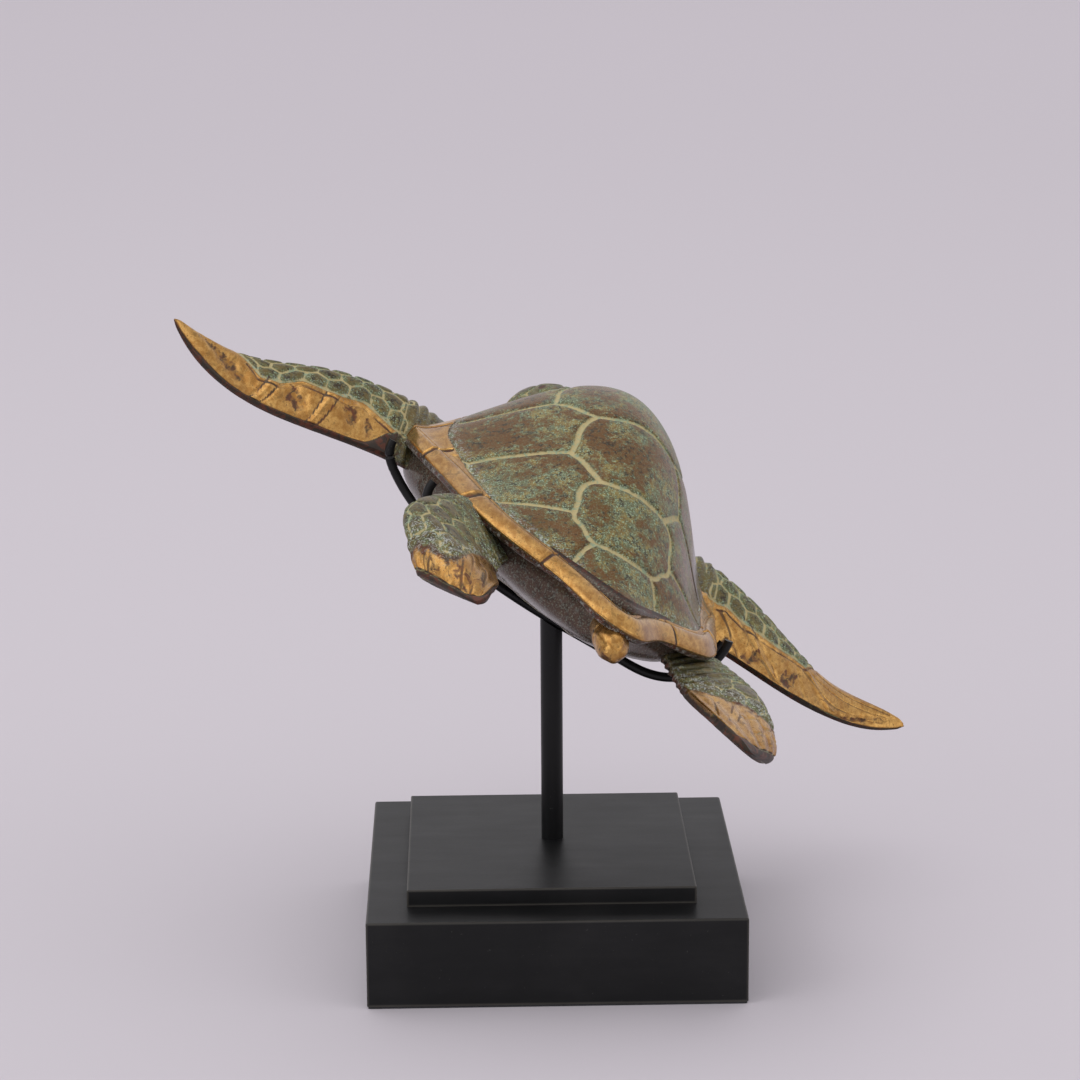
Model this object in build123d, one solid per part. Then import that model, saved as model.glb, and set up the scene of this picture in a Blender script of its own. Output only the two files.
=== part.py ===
from build123d import *
import math
import os

# Turtle figure of cast brass, carried on two bent rods and a post over a stepped wooden base.
# Millimetres. X to the right, Y to the back, Z up, origin at the middle of the base's underside.
# The turtle has a frame of its own: X to its right, Y to its head, Z up through its shell.

# Wooden base
block_side = 150.0
block_height = 34.6
block_edge_radius = 0.9
felt_thickness = 1.0
felt_inset = 0.4
plinth_width = 114.8
plinth_depth = 118.0
plinth_height = 6.9
plinth_edge_radius = 0.6
plinth_x = -1.7
plinth_y = 2.3

# Post and the fixing under the block
post_diameter = 9.0
post_x = 0.2
post_y = 5.2
shank_diameter = 6.0
shank_clearance = 0.25
counterbore_diameter = 22.0
counterbore_depth = 11.0
washer_diameter = 18.0
washer_thickness = 1.6
nut_across_flats = 10.0
nut_height = 5.0
nut_chamfer = 0.5
shank_overrun = 1.2
thread_play = 0.05
shank_end_chamfer = 0.6

# Cradle rods, each a bent U welded on the mitred top of the post
rod_diameter = 3.8
rod_gap = 0.2
rod_level = -29.3
rod_middle_x = 5.8

# Points that the rods' middle lines pass, in the turtle's frame, from the left end to the right
front_rod_left = (
    (-83.9, 31.0, -2.6),
    (-82.2, 31.0, -8.0),
    (-76.0, 31.0, -13.4),
    (-64.0, 28.0, -19.8),
    (-46.0, 19.0, -25.2),
    (-24.0, 9.0, -28.8),
    (-6.0, 3.2, -29.3),
)
front_rod_right = (
    (24.0, 9.0, -28.8),
    (46.0, 19.0, -25.2),
    (64.0, 28.0, -19.8),
    (76.0, 31.0, -13.4),
    (82.2, 31.0, -8.0),
    (83.9, 31.0, -2.6),
)
rear_rod_left = (
    (-70.6, -10.0, -5.8),
    (-69.6, -10.0, -12.6),
    (-63.0, -10.0, -19.6),
    (-50.0, -8.0, -24.8),
    (-24.0, -4.6, -28.4),
)
rear_rod_right = (
    (36.0, -5.0, -28.4),
    (48.0, -7.0, -27.6),
    (57.0, -9.0, -24.4),
    (66.5, -10.0, -16.0),
    (70.4, -10.0, -8.0),
    (70.6, -10.0, 1.6),
)

# Turtle's place and bearing in the frame
turtle_x = 12.48
turtle_y = 8.3
turtle_z = 162.74
turtle_right = (0.8194, 0.1349, -0.5570)
turtle_up = (0.5440, 0.1337, 0.8283)

# Shell
shell_half_width = 72.8
shell_half_length = 89.4
dome_height = 57.9
dome_peak_y = 53.0
shell_pitch = 4.5
shell_rise = 2.0
shell_wall = 2.8
band_reach = 10.2
band_under = -8.0
band_seat_inset = 4.5
limb_gap = 0.4
dome_fullness = 1.587
dome_back_slope = 1.797
dome_front_slope = 1.259

# Lower shell
hull_half_width = 70.4
hull_back = -86.0
hull_front = 86.8
hull_floor = -27.2
hull_wall = 2.6

# Share of the length where each outline point lies, counted from the back, and the width there
station_shares = (0.1, 0.25, 0.45, 0.65, 0.82, 0.94)
rim_width_shares = (0.188, 0.605, 0.785, 0.967, 1.0, 0.563)
egg_width_shares = (0.43, 0.68, 0.88, 0.985, 0.94, 0.62)

# Dome sections: place as a share of the length from the back, and half width as a share
dome_section_shares = (
    (0.03, 0.081),
    (0.1, 0.188),
    (0.25, 0.605),
    (0.4, 0.751),
    (0.55, 0.874),
    (0.7, 1.002),
    (0.82, 1.0),
    (0.9, 0.789),
    (0.95, 0.5),
    (0.985, 0.247),
)
# Share of the rim band's reach at each outline point from the back to the front: it closes in to the dome
band_breadth_shares = (1.0, 1.0, 1.0, 0.9, 0.5, 0.05, 0.15, 0.2)

bell_shares = (-1.0, -0.85, -0.65, -0.35, 0.0, 0.35, 0.65, 0.85, 1.0)

# Rim band rings: reach beyond the shell's outline and level under it, as shares
band_ring_shares = (
    (0.3, 1.0),
    (0.62, 0.99),
    (0.88, 0.92),
    (1.0, 0.66),
    (0.87, 0.42),
    (0.45, 0.2),
    (0.0, -0.03),
    (-0.4, -0.25),
)

# Lower shell rings: level, back, front and width as shares, then how far the outline is an egg
hull_ring_shares = (
    (-0.1, 1.0, 1.0, 1.0, 0.25),
    (0.45, 0.985, 0.985, 0.98, 0.3),
    (0.7, 0.95, 0.93, 0.85, 0.45),
    (0.855, 0.88, 0.81, 0.62, 0.7),
    (0.95, 0.7, 0.6, 0.38, 0.9),
    (0.99, 0.5, 0.44, 0.22, 1.0),
    (1.0, 0.3, 0.26, 0.1, 1.0),
)

# Flippers, from root to end: leading edge point, trailing edge point and thickness, with X to their own side
front_rings_left = (
    ((30.0, 72.0, 1.0), (30.0, 46.0, -8.0), 13.0),
    ((56.0, 78.0, 8.0), (56.0, 43.0, -9.0), 15.0),
    ((85.0, 73.0, 9.5), (85.0, 38.5, -11.0), 13.0),
    ((115.0, 66.5, 4.5), (115.0, 35.5, -16.0), 10.5),
    ((148.0, 61.5, -7.5), (148.0, 41.0, -20.0), 7.0),
    ((173.0, 55.0, -8.5), (172.0, 47.5, -15.0), 4.2),
    ((183.0, 50.5, -7.5), (183.0, 49.0, -9.0), 1.6),
)
front_rings_right = (
    ((30.0, 72.0, 4.0), (30.0, 46.0, -7.0), 13.0),
    ((56.0, 78.0, 15.5), (56.0, 43.0, -8.0), 15.0),
    ((85.0, 73.0, 17.0), (85.0, 38.5, -6.5), 13.0),
    ((115.0, 66.5, 10.0), (115.0, 35.5, -7.0), 10.5),
    ((148.0, 61.5, 3.5), (148.0, 41.0, -6.0), 7.0),
    ((173.0, 56.0, 7.0), (172.0, 47.5, -0.5), 4.2),
    ((181.5, 51.0, 8.0), (182.5, 49.0, 5.5), 1.6),
)
rear_rings_left = (
    ((46.0, -6.0, -9.0), (28.0, -30.0, -14.0), 11.0),
    ((60.5, -20.0, -8.5), (37.0, -43.5, -15.0), 12.5),
    ((78.0, -47.0, -10.5), (45.5, -67.5, -21.0), 13.5),
    ((88.5, -68.0, -17.5), (49.0, -92.0, -22.5), 12.0),
    ((86.0, -85.0, -24.5), (55.5, -111.5, -23.0), 9.5),
    ((82.5, -91.5, -28.5), (58.5, -118.5, -24.0), 7.0),
    ((79.5, -95.0, -30.0), (61.0, -120.5, -24.5), 4.0),
)
rear_rings_right = (
    ((46.0, -6.0, -9.0), (28.0, -30.0, -14.0), 11.0),
    ((63.5, -20.5, -12.0), (35.5, -43.0, -14.5), 12.5),
    ((80.0, -46.5, -13.0), (44.5, -67.5, -21.0), 13.5),
    ((84.0, -67.0, -18.0), (48.5, -92.5, -22.0), 12.0),
    ((83.5, -84.0, -23.0), (52.5, -113.0, -22.5), 9.5),
    ((82.0, -90.5, -25.0), (56.0, -119.5, -23.0), 7.0),
    ((79.0, -94.5, -26.5), (59.5, -121.5, -24.0), 4.0),
)

# Head and neck rings: centre, half width, half height and tilt in degrees
head_rings = (
    ((-1.0, 70.0, 2.0), 17.0, 9.0, 0.0),
    ((-2.0, 86.0, 7.0), 15.5, 10.5, 20.0),
    ((-4.0, 99.0, 15.0), 14.0, 12.0, 30.0),
    ((-6.0, 110.0, 25.0), 17.5, 15.5, 22.0),
    ((-8.0, 122.0, 31.5), 19.5, 17.8, 8.0),
    ((-10.0, 135.0, 32.0), 17.0, 15.5, 0.0),
    ((-12.0, 147.0, 29.0), 11.5, 10.5, -8.0),
    ((-13.0, 154.0, 26.5), 6.0, 5.5, -10.0),
)

# Tail, a round bar with a domed end, sloping down a little to the back
tail_radius = 7.2
tail_root_radius = 6.6
tail_length = 37.0
tail_dome = 12.0
tail_y = -69.0
tail_z = -13.0
tail_slope = 7.0

# Every cut runs past its faces by this much
overrun = 2.0

# Derived
rod_radius = rod_diameter / 2
rod_side_step = (rod_diameter + rod_gap) / 2
block_bottom = felt_thickness
block_top = block_bottom + block_height
plinth_top = block_top + plinth_height
nut_top = block_bottom + counterbore_depth - washer_thickness
nut_bottom = nut_top - nut_height
shank_bottom = nut_bottom - shank_overrun
mitre_level = rod_level - rod_radius
turtle_plane = Plane(
    origin=(turtle_x, turtle_y, turtle_z), x_dir=turtle_right, z_dir=turtle_up
)
shell_place = Location((0, 0, shell_rise), (shell_pitch, 0, 0))


def save(node, shape):
    """Writes one node's solid as a STEP file."""
    export_step(shape, os.path.join("parts", node + ".step"))


def placed(shape):
    """Moves a shape from the turtle's frame to the object's frame."""
    return turtle_plane.location * shape


def blend(low, high, share):
    """Value at the given share of the way from low to high."""
    return low + (high - low) * share


def outline_points(back, front, half_width, egg):
    """Closed outline of a shell ring, symmetrical about the turtle's middle."""
    right = [
        (
            half_width * blend(rim, round_, egg),
            blend(back, front, station),
        )
        for station, rim, round_ in zip(station_shares, rim_width_shares, egg_width_shares)
    ]
    left = [(-x, y) for x, y in reversed(right)]
    return [(0, back)] + right + [(0, front)] + left


def grown_points(points, reaches):
    """Outline with each point moved outwards by its reach, square to the line between its neighbours."""
    grown = []
    for here, (point, reach) in enumerate(zip(points, reaches)):
        before = points[here - 1]
        after = points[(here + 1) % len(points)]
        run_x = after[0] - before[0]
        run_y = after[1] - before[1]
        run = math.hypot(run_x, run_y)
        grown.append((point[0] + run_y / run * reach, point[1] - run_x / run * reach))
    return grown


def ring(points, level):
    """Planar face with a smooth closed outline at a level."""
    edge = Edge.make_spline([Vector(x, y, level) for x, y in points], periodic=True)
    return Face(Wire([edge]))


def dome_height_at(share):
    """Height of the dome's middle line at a share of the length."""
    peak = (dome_peak_y / shell_half_length + 1) / 2
    if share < peak:
        away = (peak - share) / peak
        slope = dome_back_slope
    else:
        away = (share - peak) / (1 - peak)
        slope = dome_front_slope
    return dome_height * (1 - away**2) ** slope


def dome(inset):
    """Solid under the shell's dome, drawn in by inset."""
    sections = []
    for share, width in dome_section_shares:
        half_width = width * shell_half_width - inset
        height = dome_height_at(share) - inset
        if height > inset:
            y = (2 * share - 1) * shell_half_length
            bell = [
                Vector(half_width * across, y, height * (1 - across**2) ** dome_fullness)
                for across in bell_shares
            ]
            top = Edge.make_spline(bell)
            base = Edge.make_line(bell[-1], bell[0])
            sections.append(Face(Wire([top, base])))
    return loft(sections)


def shell_outline():
    """Outline of the shell where the dome meets the rim band."""
    return outline_points(-shell_half_length, shell_half_length, shell_half_width, 0)


def band_outline(share, gap=0):
    """Outline of the rim band at a share of its reach. Inwards, its reach is the same all round."""
    outline = shell_outline()
    breadths = band_breadth_shares + band_breadth_shares[-2:0:-1]
    if share < 0:
        breadths = [1] * len(outline)
    return grown_points(outline, [share * breadth * band_reach + gap for breadth in breadths])


def rim_band():
    """Raised band round the shell, rounded over its outer edge."""
    return loft([ring(band_outline(reach), level * band_under) for reach, level in band_ring_shares])


def carapace_outer():
    """Full solid of the upper shell in the turtle's frame."""
    return shell_place * (dome(0) + rim_band())


def carapace():
    """Upper shell, hollow and open underneath."""
    hollow = dome(shell_wall)
    outline = shell_outline()
    outline = grown_points(outline, [-band_seat_inset] * len(outline))
    throat = loft([ring(outline, band_under - overrun), ring(outline, overrun)])
    return carapace_outer() - shell_place * hollow - shell_place * throat


def hull(inset, lift):
    """Full solid of the lower shell, drawn in by inset and raised by lift."""
    rings = []
    for level, back, front, width, egg in hull_ring_shares:
        points = outline_points(
            back * hull_back + inset, front * hull_front - inset, width * hull_half_width - inset, egg
        )
        rings.append(ring(points, level * hull_floor + lift))
    return loft(rings)


def above_seam():
    """Space over the seam between the two shells."""
    size = 4 * shell_half_length
    return shell_place * (
        Pos(0, 0, band_under) * Box(size, size, size, align=(Align.CENTER, Align.CENTER, Align.MIN))
    )


def shell_shadow():
    """Space that the limbs leave to the upper shell, a little over its rim band."""
    outline = band_outline(1, limb_gap)
    return shell_place * loft([ring(outline, band_under - limb_gap), ring(outline, 2 * dome_height)])


def hull_outer():
    """Lower shell's outside below the seam."""
    return hull(0, 0) - above_seam()


def plastron():
    """Lower shell, hollow and open at the seam."""
    return hull_outer() - hull(hull_wall, hull_wall)


def blade_ring(leading, trailing, thickness, along):
    """Oval flipper section between two edge points, square to the flipper's run."""
    nose = Vector(*leading)
    heel = Vector(*trailing)
    chord = nose - heel
    facing = (along - chord * (along.dot(chord) / chord.length**2)).normalized()
    plane = Plane(origin=(nose + heel) / 2, x_dir=chord, z_dir=facing)
    return plane * Ellipse(chord.length / 2, thickness / 2)


def flipper(edge_rings):
    """Left flipper lofted from root to end."""
    ends = [(Vector(-nose[0], *nose[1:]), Vector(-heel[0], *heel[1:])) for nose, heel, _ in edge_rings]
    middles = [(nose + heel) / 2 for nose, heel in ends]
    rings = []
    for here, (nose, heel) in enumerate(ends):
        after = middles[min(here + 1, len(middles) - 1)]
        along = after - middles[max(here - 1, 0)]
        rings.append(blade_ring(nose, heel, edge_rings[here][-1], along))
    return loft(rings)


def oval(centre, half_width, half_height, tilt):
    """Upright oval face across the turtle's length, leaning by tilt."""
    plane = Plane(origin=centre, x_dir=(1, 0, 0), z_dir=(0, 1, 0)).rotated((tilt, 0, 0))
    return plane * Ellipse(half_width, half_height)


def head():
    """Neck and head, lofted through ovals to a blunt beak."""
    rings = [oval(*values) for values in head_rings]
    return loft(rings)


def tail():
    """Short round tail with a domed end, under the back of the rim."""
    shoulder = tail_length - tail_dome
    side = Edge.make_line((tail_root_radius, 0), (tail_radius, shoulder))
    slant = math.sqrt(1 / 2)
    dome_middle = (tail_radius * slant, shoulder + tail_dome * slant)
    dome_end = Edge.make_spline(
        [Vector(tail_radius, shoulder), Vector(*dome_middle), Vector(0, tail_length)],
        tangents=[Vector(0, 1), Vector(-1, 0)],
    )
    axis_line = Edge.make_line((0, tail_length), (0, 0))
    root = Edge.make_line((0, 0), (tail_root_radius, 0))
    profile = Face(Wire([root, side, dome_end, axis_line]))
    turned = revolve(profile, Axis.Y)
    return Location((0, tail_y, tail_z), (tail_slope, 0, 180)) * turned


def bent_rod(left, right, side):
    """Round rod bent smoothly through the points, passing the post on the side given."""
    middle = (rod_middle_x, side * rod_side_step, rod_level)
    path = Edge.make_spline([Vector(*point) for point in (*left, middle, *right)])
    start = Plane(origin=path @ 0, z_dir=path % 0)
    return sweep(start * Circle(rod_radius), path=path)


def post():
    """Steel post with a shank through the base and a top mitred to the cradle."""
    tall = turtle_z - plinth_top
    rod = Pos(post_x, post_y, plinth_top) * Cylinder(
        post_diameter / 2, tall, align=(Align.CENTER, Align.CENTER, Align.MIN)
    )
    over = Pos(0, 0, mitre_level) * Box(
        2 * tall, 2 * tall, 2 * tall, align=(Align.CENTER, Align.CENTER, Align.MIN)
    )
    rod = rod - placed(over)
    shank = Pos(post_x, post_y, shank_bottom) * Cylinder(
        shank_diameter / 2, plinth_top - shank_bottom, align=(Align.CENTER, Align.CENTER, Align.MIN)
    )
    shank = chamfer(shank.edges().group_by(Axis.Z)[0], shank_end_chamfer)
    return rod + shank


def shank_hole(low, high):
    """Round hole for the post's shank between two levels."""
    return Pos(post_x, post_y, low) * Cylinder(
        shank_diameter / 2 + shank_clearance, high - low, align=(Align.CENTER, Align.CENTER, Align.MIN)
    )


def base_block():
    """Wooden block, bored for the shank and counterbored for washer and nut."""
    block = Pos(0, 0, block_bottom) * Box(
        block_side, block_side, block_height, align=(Align.CENTER, Align.CENTER, Align.MIN)
    )
    rounded = block.edges().filter_by(Axis.Z) + block.edges().group_by(Axis.Z)[-1]
    block = fillet(rounded, block_edge_radius)
    pocket = Pos(post_x, post_y, block_bottom - overrun) * Cylinder(
        counterbore_diameter / 2,
        counterbore_depth + overrun,
        align=(Align.CENTER, Align.CENTER, Align.MIN),
    )
    return block - pocket - shank_hole(block_bottom, block_top + overrun)


def plinth_plate():
    """Thinner wooden plate on the block, bored for the shank."""
    plate = Pos(plinth_x, plinth_y, block_top) * Box(
        plinth_width, plinth_depth, plinth_height, align=(Align.CENTER, Align.CENTER, Align.MIN)
    )
    rounded = plate.edges().filter_by(Axis.Z) + plate.edges().group_by(Axis.Z)[-1]
    plate = fillet(rounded, plinth_edge_radius)
    return plate - shank_hole(block_top - overrun, plinth_top + overrun)


def base_felt():
    """Thin felt sheet under the block."""
    side = block_side - 2 * felt_inset
    sheet = Box(side, side, felt_thickness, align=(Align.CENTER, Align.CENTER, Align.MIN))
    return fillet(sheet.edges().filter_by(Axis.Z), block_edge_radius)


def post_washer():
    """Flat washer against the bottom of the counterbore."""
    disc = Pos(post_x, post_y, nut_top) * Cylinder(
        washer_diameter / 2, washer_thickness, align=(Align.CENTER, Align.CENTER, Align.MIN)
    )
    return disc - shank_hole(nut_top - overrun, nut_top + washer_thickness + overrun)


def post_nut():
    """Hexagon nut that clamps post, plate and block together."""
    blank = Pos(post_x, post_y, nut_bottom) * extrude(
        RegularPolygon(nut_across_flats / 2, 6, major_radius=False), nut_height
    )
    turned = Pos(post_x, post_y, nut_bottom) * Cylinder(
        nut_across_flats / math.sqrt(3),
        nut_height,
        align=(Align.CENTER, Align.CENTER, Align.MIN),
    )
    turned = chamfer(turned.edges().filter_by(GeomType.CIRCLE), nut_chamfer)
    bore = Pos(post_x, post_y, nut_bottom - overrun) * Cylinder(
        shank_diameter / 2 + thread_play,
        nut_height + 2 * overrun,
        align=(Align.CENTER, Align.CENTER, Align.MIN),
    )
    return (blank & turned) - bore


def main():
    os.makedirs("parts", exist_ok=True)
    upper = carapace_outer()
    lower = hull_outer()
    shadow = shell_shadow()

    save("base_felt", base_felt())
    save("base_block", base_block())
    save("plinth_plate", plinth_plate())
    save("post", post())
    save("post_washer", post_washer())
    save("post_nut", post_nut())
    save("cradle_front_rod", placed(bent_rod(front_rod_left, front_rod_right, 1)))
    save("cradle_rear_rod", placed(bent_rod(rear_rod_left, rear_rod_right, -1)))

    save("carapace", placed(carapace()))
    save("plastron", placed(plastron()))
    save("head", placed(head() - shadow - lower))
    save("tail", placed(tail() - upper - lower))
    for limb, left, right in (
        ("front", front_rings_left, front_rings_right),
        ("rear", rear_rings_left, rear_rings_right),
    ):
        save(limb + "_flipper_left", placed(flipper(left) - shadow - lower))
        save(limb + "_flipper_right", placed(mirror(flipper(right), Plane.YZ) - shadow - lower))


main()
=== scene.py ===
import bpy
import math
import numpy as np
from mathutils import Matrix, Vector


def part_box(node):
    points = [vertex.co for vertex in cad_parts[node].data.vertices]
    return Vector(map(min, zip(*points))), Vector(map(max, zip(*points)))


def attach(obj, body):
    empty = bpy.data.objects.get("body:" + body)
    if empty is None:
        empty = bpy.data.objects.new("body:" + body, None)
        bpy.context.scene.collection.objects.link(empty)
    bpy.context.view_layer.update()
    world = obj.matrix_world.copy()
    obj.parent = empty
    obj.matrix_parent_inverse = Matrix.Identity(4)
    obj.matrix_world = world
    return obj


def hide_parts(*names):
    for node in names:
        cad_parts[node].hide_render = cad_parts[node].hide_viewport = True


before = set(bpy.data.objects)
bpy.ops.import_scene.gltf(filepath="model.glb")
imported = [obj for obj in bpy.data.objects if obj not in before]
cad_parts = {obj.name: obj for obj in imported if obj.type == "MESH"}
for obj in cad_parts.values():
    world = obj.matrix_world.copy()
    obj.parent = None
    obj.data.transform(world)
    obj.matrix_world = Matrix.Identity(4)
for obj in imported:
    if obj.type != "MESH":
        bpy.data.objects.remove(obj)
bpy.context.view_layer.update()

# Sizes are millimetres in the turtle's own frame: X to its right, Y to its head, Z up through its shell.
MM = 0.001

# The turtle's place and bearing on its cradle
turtle_middle = np.array((12.48, 8.3, 162.74))
turtle_up = np.array((0.5440, 0.1337, 0.8283))
turtle_right = np.array((0.8194, 0.1349, -0.5570))
turtle_up /= np.linalg.norm(turtle_up)
turtle_right -= turtle_up * turtle_right.dot(turtle_up)
turtle_right /= np.linalg.norm(turtle_right)
turtle_head = np.cross(turtle_up, turtle_right)
turtle_axes = np.array((turtle_right, turtle_head, turtle_up))


def in_frame(points):
    """Points of the turtle's frame, in millimetres, as points of the object's frame in metres."""
    return (np.asarray(points, float) @ turtle_axes + turtle_middle) * MM


# Lines and numbers


def smooth_line(points, count, closed=False):
    """Cubic line through the points, given back as count points evenly spread in its own measure."""
    points = np.asarray(points, float)
    if closed:
        points = np.vstack([points, points[:1]])
    steps = np.linalg.norm(np.diff(points, axis=0), axis=1) ** 0.75
    knots = np.concatenate([[0], np.cumsum(steps)])
    slopes = line_slopes(knots, points, closed)
    return cubic_at(knots, points, slopes, np.linspace(0, knots[-1], count, endpoint=not closed))


def line_slopes(knots, points, closed):
    """Slopes at the knots of the cubic line with no jump in its bend."""
    steps = np.diff(knots)[:, None]
    chords = np.diff(points, axis=0) / steps
    size = len(points)
    rows = np.zeros((size, size))
    right = np.zeros_like(points)
    for here in range(1, size - 1):
        rows[here, here - 1] = steps[here, 0]
        rows[here, here] = 2 * (steps[here - 1, 0] + steps[here, 0])
        rows[here, here + 1] = steps[here - 1, 0]
        right[here] = 3 * (steps[here, 0] * chords[here - 1] + steps[here - 1, 0] * chords[here])
    if closed:
        rows[0, 0] = 1
        rows[0, -1] = -1
        rows[-1, -2] = steps[0, 0]
        rows[-1, -1] = 2 * (steps[-1, 0] + steps[0, 0])
        rows[-1, 1] = steps[-1, 0]
        right[-1] = 3 * (steps[0, 0] * chords[-1] + steps[-1, 0] * chords[0])
    else:
        rows[0, :2] = (2, 1)
        right[0] = 3 * chords[0]
        rows[-1, -2:] = (1, 2)
        right[-1] = 3 * chords[-1]
    return np.linalg.solve(rows, right)


def cubic_at(knots, points, slopes, places):
    """Values of the cubic line at the places along it."""
    cell = np.clip(np.searchsorted(knots, places, side="right") - 1, 0, len(knots) - 2)
    step = (knots[cell + 1] - knots[cell])[:, None]
    part = (places - knots[cell])[:, None] / step
    low, high = points[cell], points[cell + 1]
    rise, fall = slopes[cell] * step, slopes[cell + 1] * step
    return (
        low * (1 + 2 * part) * (1 - part) ** 2
        + rise * part * (1 - part) ** 2
        + high * part**2 * (3 - 2 * part)
        + fall * part**2 * (part - 1)
    )


def smoothstep(low, high, value):
    """Smooth rise from 0 at low to 1 at high."""
    part = np.clip((value - low) / (high - low), 0, 1)
    return part * part * (3 - 2 * part)


def table_at(table, places):
    """Value of a table of (place, value) rows at the places."""
    rows = np.array(table)
    return np.interp(places, rows[:, 0], rows[:, 1])


def hump(value, middle, half):
    """Smooth hump of height 1 round the middle."""
    return np.exp(-(((value - middle) / half) ** 2))


# Meshes

# Numbers that each point of a cast piece carries for its carving and its finish. The soil mark darkens both
# for real soil and as painted shade.
plain_marks = {
    "rub": 0.0, "bare": 0.0, "grime": 0.0, "mauve": 0.0, "swell": 1.0, "lift": 0.0, "chalk": 0.0, "hold": 1.0,
}


def marks_like(shape, **given):
    """Marks for points in rows of the shape, plain where nothing is given."""
    full = {mark: np.full(shape, value) for mark, value in plain_marks.items()}
    full.update({mark: np.broadcast_to(np.asarray(value, float), shape) for mark, value in given.items()})
    return full


def mesh_of(name, points, faces, marks=None, edges=()):
    """Object at the origin from points of the turtle's frame, with a number per point for each mark."""
    mesh = bpy.data.meshes.new(name)
    mesh.from_pydata(in_frame(points).tolist(), edges, faces)
    for mark, values in (marks or {}).items():
        layer = mesh.attributes.new(mark, "FLOAT", "POINT")
        layer.data.foreach_set("value", np.asarray(values, np.float32).ravel())
    if len(faces):
        mesh.shade_smooth()
    piece = bpy.data.objects.new(name, mesh)
    bpy.context.scene.collection.objects.link(piece)
    return piece


def sleeve_faces(rows, columns, start=0):
    """Faces of a tube of rows, each a ring of columns points."""
    faces = []
    for row in range(rows - 1):
        low = start + row * columns
        for column in range(columns):
            after = (column + 1) % columns
            faces.append((low + column, low + after, low + columns + after, low + columns + column))
    return faces


def sleeve(name, grid, marks):
    """Closed tube from a grid of rings, its two ends closed by fans."""
    rows, columns, _ = grid.shape
    points = np.vstack([grid.reshape(-1, 3), grid[0].mean(0), grid[-1].mean(0)])
    faces = sleeve_faces(rows, columns)
    last = (rows - 1) * columns
    for column in range(columns):
        after = (column + 1) % columns
        faces.append((after, column, rows * columns))
        faces.append((last + column, last + after, rows * columns + 1))
    full = {}
    for mark, values in marks.items():
        values = np.asarray(values, float)
        full[mark] = np.concatenate([values.ravel(), [values[0].mean(), values[-1].mean()]])
    return mesh_of(name, points, faces, full)


def cut_lines(name, lines, marks=()):
    """Lines to cut along, as one mesh of edges. Each line is (points, breadth, darkness) and more marks."""
    points, edges, breadth, dark = [], [], [], []
    for line, wide, darkness in lines:
        first = len(points)
        points.extend(line)
        edges.extend((first + n, first + n + 1) for n in range(len(line) - 1))
        breadth.extend([wide] * len(line))
        dark.extend([darkness] * len(line))
    return mesh_of(name, np.array(points), [], {"breadth": breadth, "dark": dark, **dict(marks)}, edges)


# Node trees


class Wire:
    """One output of a node. Sums written with it become Math nodes of its tree."""

    def __init__(self, bench, socket):
        self.bench = bench
        self.socket = socket

    def math(self, operation, *values):
        return self.bench.put("ShaderNodeMath", {"operation": operation}, dict(enumerate((self, *values))))

    def __add__(self, other):
        return self.math("ADD", other)

    def __radd__(self, other):
        return self.math("ADD", other)

    def __sub__(self, other):
        return self.math("SUBTRACT", other)

    def __rsub__(self, other):
        return self.bench.put("ShaderNodeMath", {"operation": "SUBTRACT"}, {0: other, 1: self})

    def __mul__(self, other):
        return self.math("MULTIPLY", other)

    def __rmul__(self, other):
        return self.math("MULTIPLY", other)

    def __truediv__(self, other):
        return self.math("DIVIDE", other)

    def __rtruediv__(self, other):
        return self.bench.put("ShaderNodeMath", {"operation": "DIVIDE"}, {0: other, 1: self})

    def __pow__(self, other):
        return self.math("POWER", other)

    def __neg__(self):
        return self.math("MULTIPLY", -1.0)

    def most(self, other):
        return self.math("MAXIMUM", other)

    def least(self, other):
        return self.math("MINIMUM", other)

    def over(self, low, high):
        """Smooth rise from 0 where this is low to 1 where it is high."""
        return self.bench.put(
            "ShaderNodeMapRange",
            {"interpolation_type": "SMOOTHSTEP"},
            {"Value": self, "From Min": low, "From Max": high},
        )

    def scaled(self, size):
        return self.bench.put("ShaderNodeVectorMath", {"operation": "SCALE"}, {0: self, "Scale": size})


class Bench:
    """Puts nodes into a tree and joins them."""

    def __init__(self, tree):
        self.tree = tree

    def put(self, kind, settings=None, inputs=None, output=0):
        """Adds a node: its settings first, then the values or links of its sockets."""
        node = self.tree.nodes.new(kind)
        for setting, value in (settings or {}).items():
            if setting == "stops":
                ramp = node.color_ramp
                while len(ramp.elements) < len(value):
                    ramp.elements.new(0.5)
                for stop, (place, colour) in zip(ramp.elements, value):
                    stop.position = place
                    stop.color = (*colour, 1)
            else:
                setattr(node, setting, value)
        for place, value in (inputs or {}).items():
            socket = node.inputs[place]
            if isinstance(value, Wire):
                self.tree.links.new(value.socket, socket)
            else:
                socket.default_value = value
        return Wire(self, node.outputs[output])

    def mark(self, name):
        """A number that each point of the mesh carries, inside a geometry tree."""
        return self.put("GeometryNodeInputNamedAttribute", {"data_type": "FLOAT"}, {"Name": name})


def geometry_tree(name, inputs):
    """New geometry tree with a geometry socket at each end and the named inputs between."""
    tree = bpy.data.node_groups.new(name, "GeometryNodeTree")
    tree.interface.new_socket("Geometry", in_out="INPUT", socket_type="NodeSocketGeometry")
    for label, kind in inputs:
        tree.interface.new_socket(label, in_out="INPUT", socket_type="NodeSocket" + kind)
    tree.interface.new_socket("Geometry", in_out="OUTPUT", socket_type="NodeSocketGeometry")
    entry = tree.nodes.new("NodeGroupInput")
    leave = tree.nodes.new("NodeGroupOutput")
    bench = Bench(tree)
    wires = {socket.name: Wire(bench, socket) for socket in entry.outputs if socket.name}
    return tree, bench, wires, leave


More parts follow.
